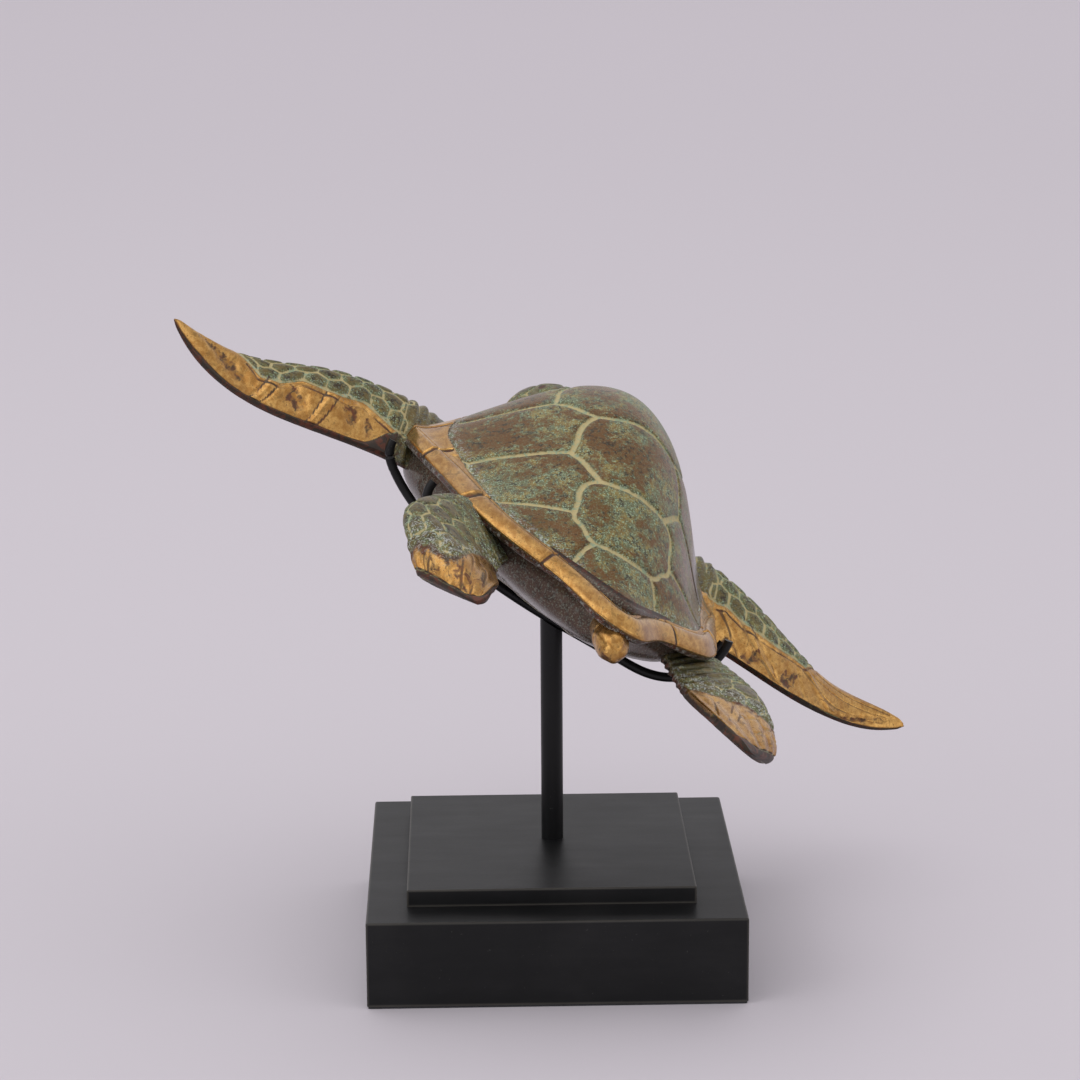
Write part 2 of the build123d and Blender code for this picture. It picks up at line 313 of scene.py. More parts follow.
def keep_mark(bench, body, name, value):
    """Stores a number on each point under a name."""
    return bench.put(
        "GeometryNodeStoreNamedAttribute",
        {"data_type": "FLOAT", "domain": "POINT"},
        {"Geometry": body, "Name": name, "Value": value},
    )


def bell_tree():
    """Raises the shell to its dome: one bell rule along its length and across its width."""
    tree, bench, given, leave = geometry_tree(
        "bell_dome",
        [
            ("Height", "Float"),
            ("Peak", "Float"),
            ("Fullness", "Float"),
            ("Back slope", "Float"),
            ("Front slope", "Float"),
            ("Up", "Vector"),
        ],
    )
    along = bench.mark("along")
    across = bench.mark("across")
    peak = given["Peak"]
    behind = ((peak - along) / peak).most(0.0)
    ahead = ((along - peak) / (1.0 - peak)).most(0.0)
    middle = (1.0 - behind * behind).most(0.0) ** given["Back slope"]
    middle = middle * (1.0 - ahead * ahead).most(0.0) ** given["Front slope"]
    bell = (1.0 - across * across).most(0.0) ** given["Fullness"]
    rise = (given["Height"] * middle * bell - bench.mark("wall")) * bench.mark("domed") * MM
    moved = bench.put(
        "GeometryNodeSetPosition",
        {},
        {"Geometry": given["Geometry"], "Offset": given["Up"].scaled(rise)},
    )
    out = bench.put("GeometryNodeRealizeInstances", {}, {"Geometry": moved})
    tree.links.new(out.socket, leave.inputs[0])
    return tree


# How a groove's breadth wavers, its soft side and the margin beside it, which the shell and hull paint as a
# dark line of shade and the limbs as greener patina
waver_size = 260.0
waver_share = 0.6
groove_bottom_share = 0.25
groove_rim_share = 1.25
margin_start_share = 0.6
margin_breadth = 2.2

def carving_tree():
    """Cuts grooves along lines, swells the field between them and roughens the cast skin."""
    tree, bench, given, leave = geometry_tree(
        "carving",
        [
            ("Lines", "Object"),
            ("Groove depth", "Float"),
            ("Field swell", "Float"),
            ("Field reach", "Float"),
            ("Skin height", "Float"),
            ("Skin size", "Float"),
            ("Seed", "Float"),
            ("Material", "Material"),
        ],
    )
    lines = bench.put("GeometryNodeObjectInfo", {}, {"Object": given["Lines"]}, "Geometry")
    gap = bench.put("GeometryNodeProximity", {"target_element": "EDGES"}, {0: lines}, "Distance") / MM
    nearest = bench.put("GeometryNodeSampleNearest", {"domain": "POINT"}, {0: lines})

    def of_line(mark):
        return bench.put(
            "GeometryNodeSampleIndex",
            {"data_type": "FLOAT", "domain": "POINT"},
            {"Geometry": lines, "Value": bench.mark(mark), "Index": nearest},
        )

    breadth = of_line("breadth")
    place = bench.put("GeometryNodeInputPosition")
    tremble = bench.put(
        "ShaderNodeTexNoise",
        {"noise_dimensions": "4D"},
        {"Vector": place, "W": given["Seed"], "Scale": waver_size, "Detail": 2.0},
    )
    half = breadth * 0.5 * (1.0 - waver_share / 2 + tremble * waver_share)
    groove = 1.0 - gap.over(half * groove_bottom_share, half * groove_rim_share)
    field = 1.0 - (1.0 - (gap / given["Field reach"]).least(1.0)) ** 2.0
    grain = bench.put(
        "ShaderNodeTexNoise",
        {"noise_dimensions": "4D"},
        {"Vector": place, "W": given["Seed"], "Scale": given["Skin size"], "Detail": 3.0},
    )
    relief = field * given["Field swell"] * bench.mark("swell")
    relief = relief - groove * given["Groove depth"] * breadth * bench.mark("hold")
    relief = relief + (grain - 0.5) * given["Skin height"] + bench.mark("lift")
    normal = bench.put("GeometryNodeInputNormal")
    moved = bench.put(
        "GeometryNodeSetPosition",
        {},
        {"Geometry": given["Geometry"], "Offset": normal.scaled(relief * MM)},
    )
    marked = keep_mark(bench, moved, "cut", groove * bench.mark("hold"))
    # Margin beside each groove: painted as a dark line of shade on the shell and hull
    start = half * margin_start_share
    margin = 1.0 - gap.over(start, start + margin_breadth)
    marked = keep_mark(bench, marked, "near", margin * bench.mark("hold"))
    marked = keep_mark(bench, marked, "sooty", of_line("dark"))
    plain = bench.put("GeometryNodeRealizeInstances", {}, {"Geometry": marked})
    dressed = bench.put("GeometryNodeSetMaterial", {}, {"Geometry": plain, "Material": given["Material"]})
    tree.links.new(dressed.socket, leave.inputs[0])
    return tree


def run_tree(piece, tree, values):
    """Puts a geometry tree on a piece with its named inputs set."""
    modifier = piece.modifiers.new(tree.name, "NODES")
    modifier.node_group = tree
    sockets = {
        item.name: item.identifier
        for item in tree.interface.items_tree
        if item.item_type == "SOCKET" and item.in_out == "INPUT"
    }
    for label, value in values.items():
        modifier[sockets[label]] = value


def settle(piece):
    """Turns what a piece's trees give into its plain mesh."""
    seen = piece.evaluated_get(bpy.context.evaluated_depsgraph_get())
    mesh = bpy.data.meshes.new_from_object(seen)
    mesh.name = piece.name
    piece.modifiers.clear()
    piece.data = mesh
    mesh.shade_smooth()


def carve(piece, lines, material, depth, swell, reach, skin, skin_size=180.0, seed=1.0):
    """Cuts the lines into a piece and gives it its material."""
    run_tree(
        piece,
        carving,
        {
            "Lines": lines,
            "Groove depth": depth,
            "Field swell": swell,
            "Field reach": reach,
            "Skin height": skin,
            "Skin size": skin_size,
            "Seed": seed,
            "Material": material,
        },
    )


def dressed(piece, wires, slot, node):
    """The carved piece becomes a plain mesh that rides with the turtle and stands for the node."""
    settle(piece)
    bpy.data.objects.remove(wires)
    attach(piece, "turtle")
    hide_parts(node)


bell_dome = bell_tree()
carving = carving_tree()

# Finishes

gold_deep = (0.34, 0.165, 0.042)
gold_bright = (0.60, 0.35, 0.11)
bronze_brown = (0.130, 0.062, 0.018)
bronze_olive = (0.130, 0.092, 0.030)
# Dark bronze: random mottling, and painted shade beside the grooves of the shell and hull
bronze_dark_and_edge_shade = (0.030, 0.018, 0.010)
bronze_mauve = (0.086, 0.052, 0.038)
verdigris_mid = (0.115, 0.138, 0.068)
verdigris_pale = (0.330, 0.440, 0.290)
ochre_film = (0.300, 0.225, 0.065)
groove_cream = (0.48, 0.40, 0.20)
groove_green = (0.27, 0.34, 0.22)
# Dark soil tone: soot in the grooves, and painted shade on undersides, in the band's valley and inside the
# shells
soot_and_shade_dark = (0.030, 0.022, 0.018)
hull_umber = (0.060, 0.042, 0.034)
scale_olive = (0.066, 0.052, 0.024)
chalk_white = (0.62, 0.64, 0.58)
# Red oxide in the soil tone, also used in the painted shade
oxide_and_shade_red = (0.130, 0.036, 0.018)
rubbed_pink = (0.44, 0.32, 0.21)
paint_black = (0.0055, 0.0058, 0.0062)
paint_worn = (0.011, 0.011, 0.0115)
rod_black = (0.004, 0.004, 0.0045)
rod_worn = (0.008, 0.008, 0.008)
dust_grey = (0.10, 0.095, 0.09)
edge_grey = (0.075, 0.07, 0.06)
zinc_dark = (0.42, 0.43, 0.45)
zinc_light = (0.66, 0.66, 0.68)
felt_dark = (0.012, 0.012, 0.013)
felt_light = (0.05, 0.05, 0.052)
# Black paint: the stretch of its brush marks, its roughness, and how far from an edge it wears, in metres
board_grain = (0.2, 1.0, 1.0)
board_gloss = 0.4
rod_grain = (1.0, 1.0, 0.3)
rod_gloss = 0.34
edge_wear = (0.0002, 0.0011)


def new_material(name):
    """Material with a bench for its tree and the output node."""
    material = bpy.data.materials.new(name)
    material.use_nodes = True
    tree = material.node_tree
    tree.nodes.clear()
    leave = tree.nodes.new("ShaderNodeOutputMaterial")
    return material, Bench(tree), leave


def finish_material(bench, leave, constants, links):
    """Ends a material in one shader with fixed values and linked ones."""
    shader = bench.tree.nodes.new("ShaderNodeBsdfPrincipled")
    for socket, value in constants.items():
        shader.inputs[socket].default_value = value
    for socket, wire in links.items():
        bench.tree.links.new(wire.socket, shader.inputs[socket])
    bench.tree.links.new(shader.outputs[0], leave.inputs["Surface"])


def colour_value(value):
    """A link as it is, a colour with its full cover."""
    return value if isinstance(value, Wire) else (*value, 1)


def blended(bench, share, low, high):
    """Colour between low and high."""
    return bench.put(
        "ShaderNodeMix",
        {"data_type": "RGBA", "clamp_factor": True},
        {0: share, 6: colour_value(low), 7: colour_value(high)},
        2,
    )


def noise(bench, place, size, detail=4.0, roughness=0.55, warp=0.0):
    """Noise of a size in marks per metre."""
    return bench.put(
        "ShaderNodeTexNoise",
        {},
        {"Vector": place, "Scale": size, "Detail": detail, "Roughness": roughness, "Distortion": warp},
    )


def shader_mark(bench, name):
    """A number that each point of the mesh carries, inside a material."""
    return bench.put("ShaderNodeAttribute", {"attribute_name": name}, {}, "Fac")


def aged_brass(name, bloom_share, ground, centre, centre_share, edge_shade_and_patina_tone, edge_shade_and_patina_share, gloss):
    """Old cast brass: a brown film, green bloom, pale fill in the grooves and gold where it is rubbed."""
    material, bench, leave = new_material(name)
    place = bench.put("ShaderNodeTexCoord", {}, {}, "Object")
    marks = {mark: shader_mark(bench, mark) for mark in ("cut", "near", "sooty", *plain_marks)}
    cut, near, sooty = marks["cut"], marks["near"], marks["sooty"]

    clouds = noise(bench, place, 30.0, 5.0, 0.6, 0.3)
    islands = noise(bench, place, 72.0, 7.0, 0.7, 0.6)
    patches = noise(bench, place, 190.0, 6.0, 0.74, 1.0)
    flecks = noise(bench, place, 480.0, 4.0, 0.7)
    specks = noise(bench, place, 1500.0, 2.0, 0.6)
    drawn = bench.put("ShaderNodeMapping", {}, {"Vector": place, "Scale": (1.0, 0.25, 1.0)})
    strokes = noise(bench, drawn, 420.0, 3.0, 0.6, 0.5)

    film = (marks["mauve"] + (islands - 0.5) * 1.6 + (patches - 0.5) * 1.2).over(0.38, 0.72)
    body = blended(bench, (clouds * 0.4 + patches * 0.6).over(0.46, 0.56), ground, bronze_olive)
    body = blended(bench, film, body, bronze_mauve)

    spread = clouds * 0.3 + islands * 0.35 + patches * 0.35 + near * 0.04
    bloom = spread.over(0.52 - bloom_share, 0.61 - bloom_share) * (1.0 - marks["bare"])
    bloom = bloom * (1.0 - film * 0.8)
    leaf = blended(bench, (patches * 0.45 + flecks * 0.55).over(0.49, 0.57), verdigris_mid, verdigris_pale)
    leaf = blended(bench, (islands * 0.5 + strokes * 0.5).over(0.48, 0.56) * 0.8, leaf, ochre_film)
    colour = blended(bench, bloom * (0.55 + flecks * 0.7).least(1.0), body, leaf)
    heart = (1.0 - near) * centre_share * (patches * 0.5 + flecks * 0.5).over(0.43, 0.55)
    colour = blended(bench, heart, colour, centre)
    # Margin beside the grooves: a dark line of painted shade on the shell and hull, greener patina on the
    # limbs
    rim = near * (1.0 - cut) * (1.0 - marks["bare"]) * edge_shade_and_patina_share * (0.3 + patches)
    colour = blended(bench, rim, colour, edge_shade_and_patina_tone)
    mottle = (flecks * 0.6 + patches * 0.4).over(0.51, 0.57)
    colour = blended(bench, mottle * 0.9, colour, bronze_dark_and_edge_shade)
    colour = blended(bench, specks.over(0.54, 0.62) * (0.15 + bloom * 0.7), colour, verdigris_pale)

    fill = (cut + (flecks - 0.5) * 0.9).over(0.3, 0.7) * (1.0 - sooty) * (1.0 - marks["rub"] * 0.5)
    fill = fill * (0.7 + flecks * 0.5).least(1.0)
    seam = blended(bench, (patches * 0.6 + flecks * 0.4).over(0.49, 0.58), groove_cream, groove_green)
    colour = blended(bench, fill, colour, seam)

    worn = (marks["rub"] + (strokes - 0.5) * 0.5 + (flecks - 0.5) * 0.3).over(0.4, 0.58)
    worn = worn * (1.0 - fill * 0.8)
    brass = blended(bench, (strokes * 0.6 + islands * 0.5).over(0.42, 0.68), gold_deep, gold_bright)
    brass = blended(bench, (patches * 0.5 + strokes * 0.5).over(0.52, 0.6) * 0.55, brass, bronze_brown)
    brass = blended(bench, (marks["mauve"] * 0.8 + (clouds - 0.5)).over(0.1, 0.8) * 0.7, brass, rubbed_pink)
    colour = blended(bench, worn, colour, brass)

    pits = specks.over(0.66, 0.71) * worn * 0.85
    # Dark soil: real soil and dark patina in grooves and hollows, and painted shade on undersides, in the
    # band's valley and inside the shells
    soil_and_shade = (marks["grime"] + (strokes - 0.5) * 1.1 + (patches - 0.5) * 0.7).over(0.36, 0.66) * 0.92
    dirt_and_shade = (cut.over(0.25, 0.7) * sooty).most(pits).most(soil_and_shade)
    soot_and_shade = blended(bench, patches.over(0.46, 0.6) * 0.75, soot_and_shade_dark, oxide_and_shade_red)
    colour = blended(bench, dirt_and_shade, colour, soot_and_shade)
    chalk = marks["chalk"] * (flecks * 0.7 + specks * 0.5).over(0.6, 0.7)
    colour = blended(bench, chalk, colour, chalk_white)

    metal = (0.2 + worn * 0.72) * (1.0 - fill) * (1.0 - dirt_and_shade * 0.8) * (1.0 - chalk)
    rough = 0.54 - gloss + bloom * 0.14 + fill * 0.2 + (flecks - 0.5) * 0.2 + dirt_and_shade * 0.15 - film * 0.08
    rough = (rough - worn * 0.04).most(0.18).least(0.95)
    height = flecks * 0.3 + specks * 0.1 + strokes * 0.2 * worn + bloom * 0.2 - pits * 0.8 + chalk * 0.6
    bump = bench.put("ShaderNodeBump", {}, {"Strength": 0.3, "Distance": 0.0003, "Height": height})
    finish_material(
        bench,
        leave,
        {"Specular IOR Level": 0.16, "Coat Weight": 0.06, "Coat Roughness": 0.16},
        {"Base Color": colour, "Metallic": metal, "Roughness": rough, "Normal": bump},
    )
    return material


def worn_edges(bench, place, middle, half):
    """1 on the edges of a box and 0 away from them."""
    apart = []
    for axis, centre, reach in zip("XYZ", middle, half):
        value = bench.put("ShaderNodeSeparateXYZ", {}, {0: place}, axis)
        apart.append(reach - (value - centre).math("ABSOLUTE"))
    total = apart[0] + apart[1] + apart[2]
    return 1.0 - (total - apart[0].most(apart[1]).most(apart[2])).over(*edge_wear)


def black_paint(name, colour, worn, grain, gloss, box=None):
    """Satin black paint with a faint sheen, brush marks and paler rubbed edges."""
    material, bench, leave = new_material(name)
    place = bench.put("ShaderNodeTexCoord", {}, {}, "Object")
    clouds = noise(bench, place, 22.0, 5.0, 0.6, 0.6)
    stretched = bench.put("ShaderNodeMapping", {}, {"Vector": place, "Scale": grain})
    streaks = noise(bench, stretched, 160.0, 4.0, 0.6)
    dust = noise(bench, place, 900.0, 2.0, 0.6)
    tint = blended(bench, (clouds * 0.6 + streaks * 0.4).over(0.38, 0.7), colour, worn)
    tint = blended(bench, dust.over(0.71, 0.77) * 0.3, tint, dust_grey)
    if box:
        edge = worn_edges(bench, place, *box) * (0.35 + clouds * 0.6)
        tint = blended(bench, edge, tint, edge_grey)
    rough = (gloss + (clouds - 0.5) * 0.14 + (streaks - 0.5) * 0.12 + dust * 0.04).most(0.2)
    bump = bench.put(
        "ShaderNodeBump", {}, {"Strength": 0.25, "Distance": 0.0001, "Height": streaks * 0.7 + dust * 0.3}
    )
    finish_material(
        bench,
        leave,
        {"Specular IOR Level": 0.24},
        {"Base Color": tint, "Roughness": rough, "Normal": bump},
    )
    return material


def plated_steel(name):
    """Bright zinc plate, a little clouded."""
    material, bench, leave = new_material(name)
    place = bench.put("ShaderNodeTexCoord", {}, {}, "Object")
    clouds = noise(bench, place, 400.0, 4.0)
    colour = blended(bench, clouds, zinc_dark, zinc_light)
    rough = 0.22 + clouds * 0.2
    finish_material(bench, leave, {"Metallic": 1.0}, {"Base Color": colour, "Roughness": rough})
    return material


def felt_cloth(name):
    """Matted black felt."""
    material, bench, leave = new_material(name)
    place = bench.put("ShaderNodeTexCoord", {}, {}, "Object")
    fluff = noise(bench, place, 2600.0, 5.0, 0.75, 1.5)
    colour = blended(bench, fluff.over(0.35, 0.7), felt_dark, felt_light)
    bump = bench.put("ShaderNodeBump", {}, {"Strength": 0.6, "Distance": 0.0003, "Height": fluff})
    finish_material(
        bench, leave, {"Roughness": 0.95, "Sheen Weight": 0.3}, {"Base Color": colour, "Normal": bump}
    )
    return material


def box_of(node):
    """Middle and half size of a node's box, in metres."""
    low, high = np.array(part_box(node))
    return ((low + high) / 2).tolist(), ((high - low) / 2).tolist()


# Shell and hull: their dark edge tone is painted shade beside the grooves
shell_patina = aged_brass("shell_patina", 0.055, bronze_brown, bronze_brown, 0.1, bronze_dark_and_edge_shade, 0.55, 0.27)
hull_patina = aged_brass("hull_patina", -0.4, bronze_mauve, hull_umber, 0.6, bronze_dark_and_edge_shade, 0.3, 0.22)
limb_patina = aged_brass("limb_patina", 0.05, bronze_olive, scale_olive, 1.0, verdigris_mid, 0.6, 0.22)
block_paint, plate_paint = (
    black_paint(name, paint_black, paint_worn, board_grain, board_gloss, box_of(node))
    for name, node in (("block_paint", "base_block"), ("plate_paint", "plinth_plate"))
)
rod_paint = black_paint("rod_paint", rod_black, rod_worn, rod_grain, rod_gloss)
zinc_plate = plated_steel("zinc_plate")
base_felt_cloth = felt_cloth("base_felt_cloth")

# Upper shell

shell_length = 178.9
shell_points = (
    (0.0, -89.5),
    (13.69, -71.6),
    (44.04, -44.7),
    (57.08, -8.9),
    (70.34, 26.8),
    (72.76, 57.3),
    (40.93, 78.7),
    (0.0, 89.4),
)
shell_wall = 2.8
shell_heart = (0.0, 22.0)
mesh_side = 236
bell_sizes = {
    "Height": 57.87,
    "Peak": 0.797,
    "Fullness": 1.587,
    "Back slope": 1.797,
    "Front slope": 1.259,
    "Up": tuple(turtle_up),
}
# Rim band seen from its end: reach from the dome's foot, and height
band_profile = (
    (0.5, -0.75),
    (1.1, -0.55),
    (1.5, 0.35),
    (2.1, 0.75),
    (3.4, 0.55),
    (5.2, -0.25),
    (7.2, -1.75),
    (8.7, -3.05),
    (9.6, -3.95),
    (10.05, -4.75),
    (9.95, -5.35),
    (9.3, -5.65),
    (9.1, -6.05),
    (9.2, -6.6),
    (8.7, -7.35),
    (7.4, -7.85),
    (5.0, -8.0),
    (2.0, -7.9),
    (-1.5, -7.7),
    (-4.5, -7.4),
)
band_rows = 26
# Rim band along the shell: share of its reach outside the dome's foot, and breadth that lies on the dome
band_reach_shares = (
    (-90.0, 1.0),
    (-9.0, 0.98),
    (10.0, 0.8),
    (27.0, 0.5),
    (42.0, 0.18),
    (57.0, 0.05),
    (79.0, 0.15),
    (90.0, 0.2),
)
band_on_dome = (
    (-95.0, 1.3),
    (-20.0, 1.4),
    (-6.0, 1.8),
    (6.0, 3.0),
    (18.0, 5.2),
    (33.0, 8.3),
    (49.0, 13.3),
    (56.0, 13.2),
    (75.0, 12.5),
    (90.0, 12.0),
)
band_lift = 0.5
# Height of the dome's foot at the tail and at the neck, and how it bows up between them
rim_back, rim_front, rim_bow = -6.06, 8.04, 10.56
inner_wall_shares = (0.985, 0.95, 0.88, 0.78, 0.64, 0.48, 0.32, 0.16)
inner_seat_share = 0.94


def rim_level(y):
    """Height of the dome's foot along the shell, a shallow sag."""
    share = y / shell_length + 0.5
    return rim_back * (1 - share) ** 2 + rim_front * share**2 + rim_bow * share * (1 - share)


outline_right = smooth_line(
    list(shell_points) + [(-x, y) for x, y in shell_points[-2:0:-1]], 4000, closed=True
)
outline_angle = np.unwrap(
    np.arctan2(outline_right[:, 0] - shell_heart[0], outline_right[:, 1] - shell_heart[1])
)
outline_reach = np.hypot(outline_right[:, 0] - shell_heart[0], outline_right[:, 1] - shell_heart[1])
if outline_angle[-1] < outline_angle[0]:
    outline_angle, outline_reach = outline_angle[::-1], outline_reach[::-1]
right_half = outline_right[: len(outline_right) // 2 + 1]


def reach_at(angle):
    """Distance from the shell's heart to its outline."""
    turn = 2 * math.pi
    angle = (np.asarray(angle) - outline_angle[0]) % turn + outline_angle[0]
    return np.interp(
        angle, np.append(outline_angle, outline_angle[0] + turn), np.append(outline_reach, outline_reach[0])
    )


def dome_marks(x, y):
    """Places of points along and across the shell, as the bell rule takes them."""
    along = np.clip(y / shell_length + 0.5, 0, 1)
    half = np.interp(y, right_half[:, 1], np.maximum(right_half[:, 0], 0))
    return {"along": along, "across": np.clip(np.abs(x) / np.maximum(half, 0.01), 0, 1)}


def dome_grid():
    """Points of the dome's plan in a grid of soft squares, with their distance inside the outline."""
    side = np.linspace(-1, 1, mesh_side)
    u, v = np.meshgrid(side, side, indexing="ij")
    flat_x = u * np.sqrt(1 - v * v / 2)
    flat_y = v * np.sqrt(1 - u * u / 2)
    angle = np.arctan2(flat_x, flat_y)
    reach = reach_at(angle)
    far = np.hypot(flat_x, flat_y) * reach
    x = shell_heart[0] + far * np.sin(angle)
    y = shell_heart[1] + far * np.cos(angle)
    return np.stack([x, y, rim_level(y)], -1).reshape(-1, 3), (reach - far).ravel()


class Skin:
    """Collects points, faces and marks of one closed skin."""

    def __init__(self):
        self.points = []
        self.faces = []
        self.marks = []

    def add(self, points, **marks):
        base = {"along": 0.0, "across": 0.0, "domed": 0.0, "wall": 0.0, **marks}
        self.points.append(points)
        self.marks.append(marks_like(len(points), **base))

    def mesh(self, name):
        full = {mark: np.concatenate([row[mark] for row in self.marks]) for mark in self.marks[0]}
        return mesh_of(name, np.vstack(self.points), self.faces, full)


def carapace_mesh():
    """Dome, rim band and inner wall in one closed skin."""
    skin = Skin()
    dome, inside = dome_grid()
    index = np.arange(mesh_side * mesh_side).reshape(mesh_side, mesh_side)
    corners = np.stack([index[:-1, :-1], index[1:, :-1], index[1:, 1:], index[:-1, 1:]], -1)
    skin.faces.extend(map(tuple, corners.reshape(-1, 4).tolist()))
    loop = np.concatenate([index[:-1, 0], index[-1, :-1], index[:0:-1, -1], index[0, :0:-1]])
    foot = dome[loop]
    run = (np.roll(foot, -1, 0) - np.roll(foot, 1, 0))[:, :2]
    outward = np.stack([run[:, 1], -run[:, 0]], -1)
    outward /= np.linalg.norm(outward, axis=1, keepdims=True)
    breadth = table_at(band_on_dome, dome[:, 1])
    strip = 1 - smoothstep(breadth - 0.2, breadth + 0.6, inside)
    flank = smoothstep(34.0, 60.0, dome[:, 0]) * smoothstep(-30.0, 20.0, dome[:, 1])
    hem = smoothstep(20.0, 3.0, inside - breadth) * smoothstep(20.0, -60.0, dome[:, 1])
    brow = smoothstep(12.0, 2.0, inside - breadth) * smoothstep(20.0, 50.0, dome[:, 1])
    skin.add(
        dome,
        domed=1.0,
        rub=strip * 0.95,
        bare=strip * smoothstep(1.6, 2.6, breadth),
        swell=1 - strip,
        lift=strip * band_lift,
        mauve=np.clip(flank * 1.1 + hem * 0.1 + brow * 0.35, 0, 1) * (1 - strip) + strip * 0.1,
        chalk=smoothstep(5.0, 1.0, inside - breadth) * 0.5 * (1 - strip),
        **dome_marks(dome[:, 0], dome[:, 1]),
    )
    arch = hump(np.abs(foot[:, 0]), 17, 11) * (foot[:, 1] < -40)
    share = table_at(band_reach_shares, foot[:, 1])
    for reach, level in smooth_line(band_profile, band_rows):
        lower = np.clip(-(level + 4.8) / 3.0, 0, 1)
        out = reach * np.where(reach > 0, share, 1)
        level_here = np.where(level > -1, level * share, level)
        ring = np.stack(
            [
                foot[:, 0] + outward[:, 0] * out,
                foot[:, 1] + outward[:, 1] * out,
                foot[:, 2] + level_here + arch * 1.6 * lower,
            ],
            -1,
        )
        top = 1 - smoothstep(4.6, 5.3, -level)
        below = smoothstep(5.2, 6.0, -level)
        # The inner valley and the lower lip and underside are darkened as painted shade; the lip also gets
        # pale deposits and mauve
        skin.add(
            ring,
            rub=np.maximum(top, 1 - share) * (1 - below) * 0.95,
            bare=1.0,
            grime=np.maximum(below * 0.75, 0.32 * smoothstep(1.7, 1.2, reach) * (level > -2)),
            mauve=0.3 * below + 0.12,
            swell=0.0,
            chalk=0.35 * below,
        )
    for share in inner_wall_shares:
        flat = np.array(shell_heart) + (foot[:, :2] - shell_heart) * share * inner_seat_share
        ring = np.column_stack([flat, rim_level(flat[:, 1])])
        here = dome_marks(ring[:, 0], ring[:, 1])
        # The inner wall is fully darkened: painted shade inside the shell
        skin.add(ring, domed=1.0, wall=shell_wall, grime=1.0, swell=0.0, hold=0.0, **here)
    middle = np.array([[*shell_heart, rim_level(shell_heart[1])]])
    here = dome_marks(middle[:, 0], middle[:, 1])
    skin.add(middle, domed=1.0, wall=shell_wall, grime=1.0, swell=0.0, hold=0.0, **here)
    count, start = len(loop), len(dome)
    rows = len(skin.points) - 2
    for column in range(count):
        after = (column + 1) % count
        skin.faces.append((int(loop[after]), int(loop[column]), start + column, start + after))
    for face in sleeve_faces(rows, count, start):
        skin.faces.append((face[1], face[0], face[3], face[2]))
    last = start + (rows - 1) * count
    for column in range(count):
        skin.faces.append((last + (column + 1) % count, last + column, last + count))
    return skin.mesh("upper_shell"), foot, outward


# Scute seams of the right half: from point to point, then breadth
seams = (
    (((60.3, 45.4), (56.9, 43.7), (52.6, 42.5), (44.1, 39.5), (32.8, 36.1)), 1.5),
    (((32.8, 36.1), (27.3, 29.4), (23.6, 23.7), (19.4, 19.2)), 2.2),
    (((32.8, 36.1), (31.6, 42.8), (30.0, 49.8), (22.5, 58.5)), 2.0),
    (((22.5, 58.5), (11.0, 60.5), (0.0, 61.2)), 2.0),
    (((22.5, 58.5), (26.0, 63.5), (29.5, 67.5)), 1.4),
    (((19.4, 19.2), (22.3, 16.4), (24.9, 10.4), (25.5, 4.6), (27.0, -2.5)), 2.6),
    (((27.0, -2.5), (34.9, 1.5), (42.3, 4.8), (49.6, 8.0), (57.7, 8.8)), 2.2),
    (((57.7, 8.8), (58.0, 4.0), (56.6, 0.0)), 1.6),
    (((57.7, 8.8), (60.5, 11.5), (62.5, 15.0)), 1.4),
    (((27.0, -2.5), (22.9, -9.1), (17.7, -18.4), (15.3, -21.6)), 2.6),
    (((19.4, 19.2), (13.3, 17.7), (6.8, 17.9), (0.0, 17.8)), 2.3),
    (((15.3, -21.6), (11.4, -22.4), (7.5, -23.1), (0.0, -23.4)), 2.3),
    (((15.3, -21.6), (19.6, -22.2), (21.8, -24.6), (22.4, -28.6), (22.4, -32.5), (23.2, -37.9)), 2.4),
    (((23.2, -37.9), (32.5, -34.0), (40.8, -30.0), (51.0, -27.4)), 1.9),
    (((23.2, -37.9), (22.2, -41.9), (19.5, -44.9), (16.5, -50.0), (12.8, -52.8)), 2.1),
    (((12.8, -52.8), (15.2, -54.2), (17.2, -56.8), (20.6, -63.4)), 1.9),
    (((12.8, -52.8), (7.0, -54.3), (0.0, -55.2)), 2.1),
)
# Seams of the rim band: place along the shell, and breadth
band_seams = ((-60.0, 2.0), (-26.0, 5.0), (19.0, 3.2), (47.0, 2.7), (66.0, 2.3), (83.0, 2.0))
groove_darkness = 0.85
seam_spread = 1.35


